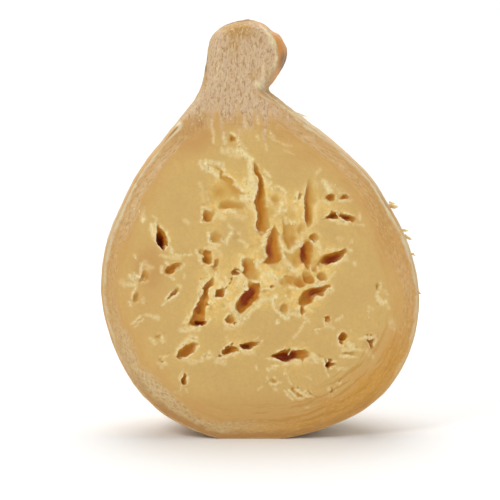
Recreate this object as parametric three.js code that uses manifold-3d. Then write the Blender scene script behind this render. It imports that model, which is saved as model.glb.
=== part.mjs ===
// Half of a caciocavallo: a pear-shaped stretched-curd cheese with a neck and a
// small round head, cut from top to bottom and standing on its belly.
//
// Millimetres, +Z up. The cut face looks along -Y. The origin is on the ground,
// in the middle of the box that the half fills.
//
// The body is a loft of rings about an upright axis, cut by one flat plane a
// little in front of that axis. The eyes and tears of the curd are irregular
// lumps taken out of the cut face.

import * as THREE from "three";
import { mergeVertices } from "three/addons/utils/BufferGeometryUtils.js";
import Module from "manifold-3d";

// ---------------------------------------------------------------- dimensions

const BACK_DEPTH = 91.6; // from the axis of the belly to the rind behind it
const CUT_OFFSET = 15; // the knife went this far in front of the axis
const AXIS_Y = (CUT_OFFSET - BACK_DEPTH) / 2; // about mid-depth of the half
const CUT_Y = AXIS_Y - CUT_OFFSET;

const RINGS = 42; // rings from the foot to the crown
const SIDES = 48; // corners of each ring

// The hand-shaped outline, from the foot up: height, left edge, right edge and
// depth behind the axis. The foot is flat, where the cheese has settled.
const OUTLINE = [
  { z: 0, left: -25, right: 14, depth: 43 },
  { z: 2.4, left: -33, right: 26, depth: 50 },
  { z: 7, left: -44, right: 41, depth: 58 },
  { z: 17, left: -60, right: 61, depth: 69 },
  { z: 33, left: -74.5, right: 77.5, depth: 79 },
  { z: 56, left: -86, right: 88.5, depth: 88 },
  { z: 84, left: -91.7, right: 91.7, depth: BACK_DEPTH },
  { z: 112, left: -88.5, right: 85, depth: 87 },
  { z: 136, left: -79, right: 72.5, depth: 77 },
  { z: 154, left: -69.5, right: 60, depth: 66 },
  { z: 171, left: -56.5, right: 41.5, depth: 50 },
  { z: 183, left: -46.5, right: 26, depth: 37 },
  { z: 193, left: -38.5, right: 12.5, depth: 26 },
  { z: 200, left: -34.5, right: 4.5, depth: 20.5 },
  { z: 208, left: -32.2, right: 9.5, depth: 21 },
  { z: 219, left: -30.3, right: 14.6, depth: 23 },
  { z: 229, left: -28.4, right: 12, depth: 21 },
  { z: 236, left: -21.5, right: 4, depth: 14 },
  { z: 240, left: -7.5, right: -6.5, depth: 0.8 },
];

// Slow waves in the hand-shaped rind: share of the radius, waves round the
// body, waves up the body. They fade out towards the cut face.
const RIND_WAVES = [
  { size: 0.012, around: 3, up: 2, phase: 0.6 },
  { size: 0.008, around: 5, up: 3, phase: 2.1 },
];

// Eyes and tears in the cut face: place of the middle (x, z), length of the
// opening along its tilt, width across it, depth behind the face, tilt from
// +X towards +Z in degrees.
const EYES = [
  // under the neck and down the upper left
  { x: -15.5, z: 171, length: 5, width: 4, depth: 3, tilt: 60 },
  { x: -2.5, z: 154, length: 13, width: 3, depth: 5, tilt: -70 },
  { x: 0, z: 143, length: 12, width: 4, depth: 6, tilt: 88 },
  { x: 1, z: 130, length: 24, width: 8, depth: 8, tilt: 88 },
  { x: -20, z: 139, length: 25, width: 14, depth: 3, tilt: 4 },
  { x: -30, z: 128, length: 9, width: 7, depth: 5, tilt: 80 },
  { x: -17, z: 133, length: 11, width: 6, depth: 5, tilt: 8 },
  { x: -25, z: 116, length: 7.5, width: 6.5, depth: 4, tilt: 90 },
  { x: -12.5, z: 116, length: 7.5, width: 6, depth: 3, tilt: 80 },
  // the middle left
  { x: -56, z: 114.5, length: 9, width: 7.5, depth: 9, tilt: 80 },
  { x: -58, z: 121, length: 9, width: 2.4, depth: 4, tilt: 88 },
  { x: -49.5, z: 98, length: 11, width: 6.5, depth: 5, tilt: 25 },
  { x: -65.5, z: 94, length: 7, width: 4, depth: 3.5, tilt: 62 },
  { x: -71, z: 81.5, length: 9, width: 4, depth: 3, tilt: 76 },
  { x: -49.5, z: 83, length: 11, width: 3.6, depth: 3.5, tilt: 50 },
  { x: -30, z: 104, length: 10, width: 5.5, depth: 5, tilt: 100 },
  { x: -22, z: 84, length: 7, width: 5, depth: 4.5, tilt: 25 },
  // the torn chain that runs down to the left
  { x: -28.5, z: 91, length: 11, width: 3, depth: 4.5, tilt: 64 },
  { x: -32, z: 80, length: 14, width: 5.5, depth: 7, tilt: 60 },
  { x: -35, z: 69, length: 14, width: 8, depth: 7.5, tilt: 28 },
  // the middle
  { x: -6, z: 97, length: 14, width: 7.5, depth: 6, tilt: 92 },
  { x: -14, z: 95.5, length: 6, width: 3.6, depth: 3.5, tilt: -10 },
  { x: -5, z: 81, length: 19, width: 8, depth: 8.5, tilt: 57 },
  { x: -12.5, z: 77, length: 8, width: 3.6, depth: 3.5, tilt: 66 },
  { x: -17, z: 68, length: 8, width: 6, depth: 4, tilt: 60 },
  { x: 13.5, z: 88, length: 14, width: 9, depth: 2.6, tilt: 60 },
  { x: 14, z: 74.5, length: 7, width: 5, depth: 3.5, tilt: 62 },
  // the deep grooves right of the middle
  { x: 8, z: 136, length: 14, width: 9, depth: 3.5, tilt: 80 },
  { x: 29.5, z: 133, length: 24, width: 9, depth: 7, tilt: 90 },
  { x: 16, z: 116, length: 17, width: 8, depth: 5, tilt: 95 },
  { x: 8, z: 109, length: 17, width: 9, depth: 8, tilt: 88 },
  { x: 27.5, z: 106.5, length: 14, width: 7, depth: 8, tilt: 84 },
  { x: 31, z: 115.5, length: 8, width: 4.5, depth: 4, tilt: -58 },
  { x: 24, z: 89.5, length: 8, width: 6, depth: 4.5, tilt: 80 },
  { x: 28.5, z: 92.5, length: 8, width: 4, depth: 4, tilt: -70 },
  { x: 35.5, z: 93, length: 9, width: 5, depth: 3, tilt: 22 },
  { x: 33, z: 84, length: 14, width: 5, depth: 6, tilt: 30 },
  { x: 25.5, z: 79, length: 15, width: 6.5, depth: 4, tilt: 70 },
  // the upper right
  { x: 42, z: 104.5, length: 15, width: 6.5, depth: 8.5, tilt: 33 },
  { x: 41.5, z: 128, length: 7.5, width: 5.5, depth: 7, tilt: -5 },
  { x: 49.5, z: 127, length: 9, width: 4.5, depth: 7, tilt: -34 },
  { x: 39.5, z: 138.5, length: 7, width: 4.6, depth: 3.5, tilt: 15 },
  { x: 48.5, z: 138.5, length: 8, width: 2.6, depth: 3, tilt: 6 },
  // the lower left
  { x: -41.5, z: 50.5, length: 15, width: 7.5, depth: 6.5, tilt: 36 },
  { x: -44, z: 33, length: 8, width: 4, depth: 4, tilt: 82 },
  // the cracks across the lower middle
  { x: -20, z: 50, length: 12, width: 3.6, depth: 6, tilt: 36 },
  { x: -6, z: 53, length: 13, width: 4, depth: 7, tilt: 14 },
  { x: 17, z: 47.5, length: 24, width: 7, depth: 9, tilt: 3 },
  { x: 22, z: 26.5, length: 16, width: 5, depth: 3.5, tilt: -38 },
  // the lower right
  { x: 39.5, z: 42, length: 8, width: 5.5, depth: 6, tilt: -60 },
  { x: 47, z: 58, length: 6.5, width: 5.5, depth: 4.5, tilt: 20 },
  { x: 62.5, z: 54.5, length: 9, width: 4, depth: 4.5, tilt: 95 },
  { x: 51, z: 49, length: 11, width: 3, depth: 2.6, tilt: 0 },
  { x: 38, z: 68, length: 6, width: 3.4, depth: 3, tilt: 60 },
];

const SMALL_EYE = 8; // eyes up to this length need fewer facets
const EYE_UNEVENNESS = 0.14; // how far a lump departs from an ellipsoid
const LONG_BULGE = { along: 3.1, across: 2.3 }; // radians over half the eye
const SHORT_BULGE = { across: 4.3, inward: 2.1, share: 0.6 };
const FIRST_SEED = 11;
const SEED_STEP = 7;

const KNIFE_BLOCK = 400; // anything larger than the cheese
const RINDED_PASTE = { color: 0xd6ad6c, roughness: 0.5, metalness: 0 };

// ------------------------------------------------------------------- helpers

// Repeatable numbers from 0 to 1.
function randomFrom(seed) {
  let state = seed;
  return () => {
    state = (state * 1664525 + 1013904223) % 4294967296;
    return state / 4294967296;
  };
}

const wasm = await Module();
wasm.setup();

function toSolid(geometry) {
  const bare = new THREE.BufferGeometry();
  bare.setAttribute("position", geometry.getAttribute("position"));
  if (geometry.index) bare.setIndex(geometry.index);
  const merged = mergeVertices(bare, 1e-4);
  const mesh = new wasm.Mesh({
    numProp: 3,
    vertProperties: Float32Array.from(merged.getAttribute("position").array),
    triVerts: Uint32Array.from(merged.index.array),
  });
  return new wasm.Manifold(mesh);
}

function toGeometry(solid) {
  const mesh = solid.getMesh();
  const geometry = new THREE.BufferGeometry();
  geometry.setAttribute("position", new THREE.BufferAttribute(mesh.vertProperties, 3));
  geometry.setIndex(new THREE.BufferAttribute(mesh.triVerts, 1));
  return geometry;
}

// ---------------------------------------------------------------------- body

function outlineCurve(edge) {
  return new THREE.SplineCurve(OUTLINE.map((row) => new THREE.Vector2(row[edge], row.z)));
}

const leftCurve = outlineCurve("left");
const rightCurve = outlineCurve("right");
const depthCurve = outlineCurve("depth");

// Middle, half width, depth and height of the body at a share t of the way up.
function sectionAt(t) {
  const left = leftCurve.getPoint(t);
  const right = rightCurve.getPoint(t);
  return {
    z: left.y,
    middle: (left.x + right.x) / 2,
    halfWidth: (right.x - left.x) / 2,
    depth: depthCurve.getPoint(t).x,
  };
}

function rindWave(angle, t) {
  const behind = Math.max(0, Math.sin(angle));
  const sum = RIND_WAVES.reduce((total, wave) => {
    const turn = wave.around * angle + wave.up * 2 * Math.PI * t + wave.phase;
    return total + wave.size * Math.sin(turn);
  }, 0);
  return 1 + sum * behind;
}

function ringPoints(t) {
  const section = sectionAt(t);
  const points = [];
  for (let side = 0; side < SIDES; side += 1) {
    const angle = (2 * Math.PI * side) / SIDES;
    const wave = rindWave(angle, t);
    points.push(
      section.middle + section.halfWidth * wave * Math.cos(angle),
      AXIS_Y + section.depth * wave * Math.sin(angle),
      section.z,
    );
  }
  return points;
}

// Two triangles for each side, between a ring and the one above it.
function bandIndices(ring) {
  const low = ring * SIDES;
  const high = low + SIDES;
  const indices = [];
  for (let side = 0; side < SIDES; side += 1) {
    const next = (side + 1) % SIDES;
    indices.push(low + side, low + next, high + next);
    indices.push(low + side, high + next, high + side);
  }
  return indices;
}

// A fan from a ring to the point in its middle.
function fanIndices(ring, centre, facesUp) {
  const indices = [];
  for (let side = 0; side < SIDES; side += 1) {
    const here = ring * SIDES + side;
    const next = ring * SIDES + ((side + 1) % SIDES);
    indices.push(...(facesUp ? [centre, here, next] : [centre, next, here]));
  }
  return indices;
}

// Rings from the foot to the crown, closed by a fan at both ends.
function bodyGeometry() {
  const positions = [];
  const indices = [];
  for (let ring = 0; ring <= RINGS; ring += 1) {
    positions.push(...ringPoints(ring / RINGS));
    if (ring < RINGS) indices.push(...bandIndices(ring));
  }
  const foot = sectionAt(0);
  const crown = sectionAt(1);
  const footCentre = positions.length / 3;
  positions.push(foot.middle, AXIS_Y, foot.z, crown.middle, AXIS_Y, crown.z);
  indices.push(...fanIndices(0, footCentre, false));
  indices.push(...fanIndices(RINGS, footCentre + 1, true));
  const geometry = new THREE.BufferGeometry();
  geometry.setAttribute("position", new THREE.Float32BufferAttribute(positions, 3));
  geometry.setIndex(indices);
  return geometry;
}

// The block in front of the cut plane, which the knife takes away.
function frontBlock() {
  const block = new THREE.BoxGeometry(KNIFE_BLOCK, KNIFE_BLOCK, KNIFE_BLOCK);
  block.translate(0, CUT_Y - KNIFE_BLOCK / 2, KNIFE_BLOCK / 4);
  return block;
}

// ---------------------------------------------------------------------- eyes

// An uneven lump centred on the cut plane, so that its back half is the hollow.
function eyeGeometry(eye, seed) {
  const random = randomFrom(seed);
  const phases = [random(), random(), random()].map((share) => share * 2 * Math.PI);
  const lump = new THREE.IcosahedronGeometry(1, eye.length > SMALL_EYE ? 2 : 1);
  const position = lump.getAttribute("position");
  const point = new THREE.Vector3();
  for (let i = 0; i < position.count; i += 1) {
    point.fromBufferAttribute(position, i);
    const longBulge =
      Math.sin(LONG_BULGE.along * point.x + phases[0]) *
      Math.cos(LONG_BULGE.across * point.z + phases[1]);
    const shortBulge = Math.sin(
      SHORT_BULGE.across * point.z + SHORT_BULGE.inward * point.y + phases[2],
    );
    const bulge = longBulge + SHORT_BULGE.share * shortBulge;
    point.multiplyScalar(1 + EYE_UNEVENNESS * bulge);
    position.setXYZ(i, point.x, point.y, point.z);
  }
  lump.scale(eye.length / 2, eye.depth, eye.width / 2);
  lump.rotateY(-THREE.MathUtils.degToRad(eye.tilt));
  lump.translate(eye.x, CUT_Y, eye.z);
  return lump;
}

function allEyes() {
  const lumps = EYES.map((eye, index) => {
    return toSolid(eyeGeometry(eye, FIRST_SEED + SEED_STEP * index));
  });
  return lumps.reduce((sum, lump) => sum.add(lump));
}

// --------------------------------------------------------------------- model

// Puts the middle of the box that the shape fills over the origin.
function centreOverOrigin(geometry) {
  geometry.computeBoundingBox();
  const middle = geometry.boundingBox.getCenter(new THREE.Vector3());
  geometry.translate(-middle.x, -middle.y, 0);
  return geometry;
}

function halfCheese() {
  const half = toSolid(bodyGeometry()).subtract(toSolid(frontBlock()));
  const geometry = centreOverOrigin(toGeometry(half.subtract(allEyes())));
  const mesh = new THREE.Mesh(geometry, new THREE.MeshStandardMaterial(RINDED_PASTE));
  mesh.name = "cheese_half";
  return mesh;
}

const caciocavallo = new THREE.Group();
caciocavallo.add(halfCheese());

export default caciocavallo;
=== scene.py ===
"""Half of a caciocavallo, with its cut face, eyes and torn curd, and its rind.

The shape is worked in millimetres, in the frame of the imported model, and made
metres when a mesh is written. The knife's plane, the ground and the middle come
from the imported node's box.
"""

import math

import bpy
import numpy as np
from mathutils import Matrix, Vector
from mathutils.bvhtree import BVHTree
from mathutils.kdtree import KDTree


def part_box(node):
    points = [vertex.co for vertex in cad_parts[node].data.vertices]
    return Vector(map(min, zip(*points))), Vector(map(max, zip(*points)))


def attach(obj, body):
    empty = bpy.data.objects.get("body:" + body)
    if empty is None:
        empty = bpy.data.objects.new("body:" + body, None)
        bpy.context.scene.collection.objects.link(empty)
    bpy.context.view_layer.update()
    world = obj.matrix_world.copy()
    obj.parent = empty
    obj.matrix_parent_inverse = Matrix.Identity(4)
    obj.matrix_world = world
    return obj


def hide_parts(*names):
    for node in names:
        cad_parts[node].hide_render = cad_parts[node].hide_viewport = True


bl_info = {
    "name": "Caciocavallo Half",
    "version": (1, 0, 0),
    "blender": (4, 5, 0),
    "location": "View3D > Sidebar > Cheese",
    "description": "Builds half of a caciocavallo with its eyes, rind, crumbs and slivers",
    "category": "Object",
}

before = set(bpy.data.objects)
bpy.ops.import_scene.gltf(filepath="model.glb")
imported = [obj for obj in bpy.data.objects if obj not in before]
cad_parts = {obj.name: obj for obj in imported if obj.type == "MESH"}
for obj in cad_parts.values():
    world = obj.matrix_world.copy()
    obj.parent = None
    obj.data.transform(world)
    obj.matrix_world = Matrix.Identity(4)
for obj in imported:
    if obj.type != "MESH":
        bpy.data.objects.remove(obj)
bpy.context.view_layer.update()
NODE = "cheese_half"
BODY = "root"
HALF_NAME = "cheese_half_skin"
LOW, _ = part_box(NODE)

MM = 0.001

# ------------------------------------------------------------------ the shape
# All in millimetres.

CUT_Y = LOW.y / MM  # the knife's plane
CUT_OFFSET = 15.0  # from the knife's plane back to the body's axis
AXIS_Y = CUT_Y + CUT_OFFSET
BACK_DEPTH = 91.6

RINGS = 150
SIDES = 144

# From the foot up: height, left edge, right edge, depth behind the axis.
OUTLINE = (
    (0, -25, 14, 43), (2.4, -33, 26, 50), (7, -44, 41, 58), (17, -60, 61, 69),
    (33, -74.5, 77.5, 79), (56, -86, 88.5, 88), (84, -91.7, 91.7, BACK_DEPTH),
    (112, -88.5, 85, 87), (136, -79, 72.5, 77), (154, -69.5, 60, 66), (171, -56.5, 41.5, 50),
    (183, -46.5, 26, 37), (193, -38.5, 12.5, 26), (200, -34.5, 4.5, 20.5), (208, -32.2, 9.5, 21),
    (219, -30.3, 14.6, 23), (229, -28.4, 12, 21), (236, -21.5, 4, 14), (240, -7.5, -6.5, 0.8),
)

# Slow waves of the hand-shaped rind: share of the radius, waves round the body,
# waves up the body, phase.
RIND_WAVES = ((0.012, 3, 2, 0.6), (0.008, 5, 3, 2.1))

# The tables of the cut face hold heights as they look from straight ahead. Seen from
# the camera's height they stand higher: most of all at one height, and less above and
# below it.
LIFT = 1.2
LIFT_HEIGHT = 75.0
LIFT_FALL = 1.85 / 165.0**2

# How far a hollow leans to the left and down for each millimetre of its depth.
UNDERCUT_LEFT = 0.3
UNDERCUT_DOWN = 0.24

# No hollow is really deeper than this, however deep it looks.
SHALLOWED = 11.0

# Nearer to the uncut surface than the first, a point is on the rind. Further behind
# the knife's plane than the second, it is in a hollow.
RIND_SKIN = 0.45
FACE_SKIN = 0.9

# The folds between crowded hollows are no deeper than this.
FOLD_DEPTH = 2.6

# The nick in the head's outline: middle, reach each way, and depth.
NICK_MIDDLE = (7.5, -42.0, 235.5)
NICK_REACH = (4.0, 14.0, 4.0)
NICK_DEPTH = 1.7

# Long hollows and cracks, as stations from one end to the other: x, z, how far the
# hollow reaches to the left and to the right of the way it runs, and its depth.
# A short reach is a steep wall and a long one a soft ramp.
TROUGHS = (
    # the long groove, upwards from its foot
    (
        (0.4, 119.4, 1, 1.4, 2.5), (0.7, 122.5, 2.8, 5.6, 5.2), (0.6, 127.5, 2.6, 6.4, 5.7),
        (0.1, 133, 2.3, 6, 5.9), (-0.5, 138.5, 2.8, 4.4, 5.8), (-0.4, 142.5, 1.7, 2.9, 6),
        (-0.1, 146.5, 1.1, 1.9, 5.4), (-1, 150, 1, 1.4, 4.6), (-2.5, 153.2, 0.9, 1.5, 4.4),
        (-3.5, 156.2, 0.8, 1.2, 3.6), (-4, 159.4, 0.5, 0.6, 1.2),
    ),
    # the tall groove on the right
    (
        (27.4, 121.2, 0.9, 0.9, 2), (26.8, 124, 1.3, 3, 4), (26.3, 128.5, 1, 4.6, 5),
        (26, 134, 0.9, 5.8, 4.6), (26.1, 139, 0.9, 7, 4.2), (26.6, 143.5, 1.4, 8.5, 2.8),
        (27.8, 147.5, 1.6, 6, 0.8),
    ),
    # the torn sheet's edge, with the dish below it
    (
        (-28.6, 155.5, 0.6, 0.6, 1.4), (-25.2, 155.4, 0.8, 0.9, 3),
        (-22.6, 153.4, 0.9, 0.9, 3.6), (-21, 150.4, 0.9, 3.6, 3.4), (-18, 148.8, 0.8, 8, 3.2),
        (-15.7, 147, 0.8, 12, 3.2), (-12.6, 144.4, 0.8, 11, 3.4), (-10.3, 141.8, 0.8, 8, 2.8),
        (-8, 139.6, 0.5, 2, 1),
    ),
    # the hollow under the dish
    (
        (-22.6, 131.8, 1, 0.8, 2), (-20.2, 132.8, 4.6, 2, 3.8), (-16, 133.4, 6.4, 2.6, 3.2),
        (-11.5, 134, 6.4, 3.2, 2.6), (-6.8, 134.4, 2.5, 2.4, 0.8),
    ),
    # the deep hollow right of the middle
    (
        (0.8, 99.8, 0.6, 0.6, 1.2), (4.6, 102.4, 1.5, 1.8, 4.4), (7.8, 105.4, 3, 5.6, 8),
        (7.2, 109, 3.8, 5.8, 8.6), (7.6, 112.6, 3.2, 4.8, 7.8), (7.8, 116.2, 1.5, 3.8, 6.8),
        (7.7, 119.8, 0.9, 2, 3.2), (7.4, 122.6, 0.5, 0.8, 1),
    ),
    # the finger beside it
    (
        (17, 108.4, 1.6, 2.2, 2), (16.6, 111.5, 2.4, 3.8, 3.6), (15.8, 115.5, 2.8, 5.4, 3.4),
        (14.8, 119.5, 2.8, 6.4, 2.8), (13.4, 123.5, 2.4, 5.4, 1.8), (12.6, 127.5, 1.6, 3, 0.7),
    ),
    # the slot on its right, with the crack that leaves it below
    (
        (26.4, 99.6, 1, 1.2, 3), (25.7, 103, 2.1, 3.8, 7.4), (25.9, 107, 2.4, 4.6, 9),
        (26.9, 110.6, 2.2, 3.2, 7.4), (28, 113.2, 0.8, 0.8, 1.8),
    ),
    (
        (29.8, 92.2, 0.5, 0.5, 1.2), (28.3, 95.8, 0.8, 0.8, 3.2), (26.6, 99.6, 0.9, 1, 4),
    ),
    # the chain of tears down to the left
    (
        (-41.8, 64.3, 0.5, 0.5, 1.4), (-38.6, 66.4, 2, 1.7, 4.6), (-35.2, 68.6, 4, 3.6, 6),
        (-34.2, 71.6, 4.2, 3.4, 4.6), (-34.2, 75.4, 2.9, 3.8, 8), (-32.2, 79.4, 2.1, 3.4, 4.4),
        (-31, 83.2, 1.7, 2, 5), (-30.6, 86.4, 1.1, 1.8, 5.2), (-29, 89, 1, 2.2, 4.6),
        (-27.2, 91.8, 0.9, 1.4, 3.2), (-26, 93.8, 0.5, 0.5, 1),
    ),
    # the spindle and its companion
    (
        (-11.4, 71.4, 0.8, 0.8, 1.8), (-10.2, 74.4, 3.2, 1.7, 5.6), (-8.1, 78, 4.8, 3, 8.4),
        (-5.4, 81.6, 4.6, 3.2, 10), (-3.2, 84.8, 3.3, 2.6, 9.4), (-1.4, 87.6, 1.9, 1.5, 5.4),
        (-0.4, 89.8, 0.5, 0.5, 1.6),
    ),
    (
        (-14.2, 73.2, 0.8, 0.8, 1.2), (-13, 76, 1.8, 1.6, 2.8), (-11.8, 79, 1.5, 1.4, 2.4),
        (-11, 81.4, 0.5, 0.5, 0.8),
    ),
    # the orange valley and its arm
    (
        (22, 76.4, 2, 0.8, 0.8), (25.4, 78.2, 4, 2.4, 4.2), (28.4, 80.4, 4.6, 2.4, 6.6),
        (31.4, 83, 3.4, 2.2, 8.6), (34.6, 84.7, 2.4, 2, 8), (37.6, 86.6, 1.3, 1.3, 6),
        (40.6, 88.2, 0.5, 0.5, 1.2),
    ),
    # the big tear on the right
    (
        (32.6, 99.8, 0.8, 0.8, 1.6), (36, 101.8, 1.9, 1.5, 3.8), (39.4, 102.4, 3.8, 2.1, 8.2),
        (42.6, 103.4, 4, 2.2, 9.6), (45.8, 105.8, 2.4, 2, 7.6), (48.2, 107.8, 1.3, 1.1, 3.8),
        (51, 109.4, 0.5, 0.5, 1.2),
    ),
    # the big crack across the lower middle
    (
        (4.6, 46.5, 0.4, 0.4, 1), (8, 46.8, 1.1, 1.1, 5), (11.4, 47.2, 2.1, 2.1, 8.6),
        (15, 47.5, 3.4, 3.1, 10.4), (18, 47.8, 2.7, 2.7, 10.4), (21, 48.4, 2.8, 2.6, 8.6),
        (24.4, 48, 3.4, 3.2, 5.4), (27.2, 47.6, 2.3, 2, 3), (29, 47.4, 0.5, 0.5, 1),
    ),
    # the cracks on its left
    (
        (-11.8, 51.9, 0.4, 0.4, 1), (-9.4, 52.6, 1.4, 1.5, 7.8), (-6, 52.9, 1.8, 1.7, 8.6),
        (-3.4, 53.4, 1.4, 1, 5.6), (-1, 54.2, 1, 0.8, 3.8), (1, 55.5, 0.5, 0.5, 1.4),
    ),
    (
        (-21.4, 47.4, 0.6, 0.6, 2), (-20, 49.4, 1.6, 1.5, 5), (-17.4, 50.8, 2.3, 2, 7.8),
        (-14.4, 50.5, 1.6, 1.4, 5), (-11.2, 49.6, 0.6, 0.6, 1.8),
    ),
    # the tear on the lower left
    (
        (-48, 46.4, 0.6, 0.8, 1.6), (-45.2, 47.4, 2.2, 1.6, 4.2), (-42, 48.8, 3.9, 2.3, 6),
        (-39.2, 50.8, 3.5, 2.5, 5.8), (-36.8, 52.8, 1.8, 1.8, 3.8), (-34.4, 54.4, 0.5, 0.5, 1.2),
    ),
    # the small tears on the left
    (
        (-54.6, 76.8, 0.5, 0.5, 0.8), (-51.8, 79.8, 1, 1, 2.8), (-49.4, 82.8, 1.6, 1.6, 4.2),
        (-47.2, 85.4, 1.4, 1.4, 2.2), (-45.8, 87.2, 0.5, 0.5, 0.8),
    ),
    (
        (-71.8, 77.2, 0.6, 0.6, 1), (-70.8, 80, 1.8, 1.6, 3.6), (-70, 83, 1.6, 1.6, 2.6),
        (-69.5, 85.4, 0.5, 0.5, 0.8),
    ),
    (
        (-68.9, 88, 0.8, 1, 1.2), (-67.8, 90.4, 1.6, 1.8, 2.6), (-66.3, 92.8, 1.6, 2.8, 4),
        (-65.3, 95.6, 1.8, 2.5, 2.8), (-64.4, 98, 0.6, 0.6, 0.8),
    ),
    (
        (-54.8, 95.2, 0.5, 0.5, 0.8), (-52.2, 96, 1.9, 1.6, 3.4), (-49.6, 97.2, 3, 2, 5.4),
        (-46.8, 99, 2.2, 1.8, 3.6), (-43.8, 101.2, 0.5, 0.5, 1),
    ),
    # the deep red hole on the left, with its slit above
    (
        (-54.8, 106, 0.4, 0.4, 1), (-55.8, 108.8, 0.7, 0.7, 2.8), (-56.2, 111.6, 2.3, 3.2, 11),
        (-56.2, 114, 3.9, 3.5, 12.5), (-56.8, 117, 2.7, 2.5, 8.6), (-57.6, 119.8, 1.3, 1.3, 4.8),
        (-58, 122.4, 0.8, 0.8, 3.2), (-58.4, 125, 0.4, 0.4, 1),
    ),
    # the two dark pairs on the right
    (
        (34.6, 124.7, 0.4, 0.4, 1), (37.4, 126.2, 0.8, 0.8, 3), (40, 127.6, 2.2, 1.8, 6.6),
        (42.6, 127.8, 2.1, 2, 7.8), (45.2, 128, 0.9, 1.4, 4.6), (46.6, 128.6, 0.4, 0.4, 1.2),
    ),
    (
        (45.8, 130, 0.5, 0.5, 1.6), (47.8, 127.7, 1.4, 1.4, 6.2), (50.4, 126.6, 2, 2, 8.4),
        (53, 126.2, 1.1, 1.1, 3.8), (55.4, 126, 0.4, 0.4, 1),
    ),
    (
        (36.2, 136.9, 0.5, 0.5, 1), (38.6, 138, 1.6, 1.8, 3.2), (40.6, 138.6, 1.8, 2.2, 5.2),
        (43, 139.3, 0.5, 0.5, 1.2),
    ),
    (
        (44.2, 137.6, 0.4, 0.4, 1), (46.4, 138.5, 0.9, 0.9, 3.6), (48.8, 138.8, 1.3, 1.2, 6),
        (51.4, 138.9, 0.5, 0.5, 1.6),
    ),
)

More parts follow.
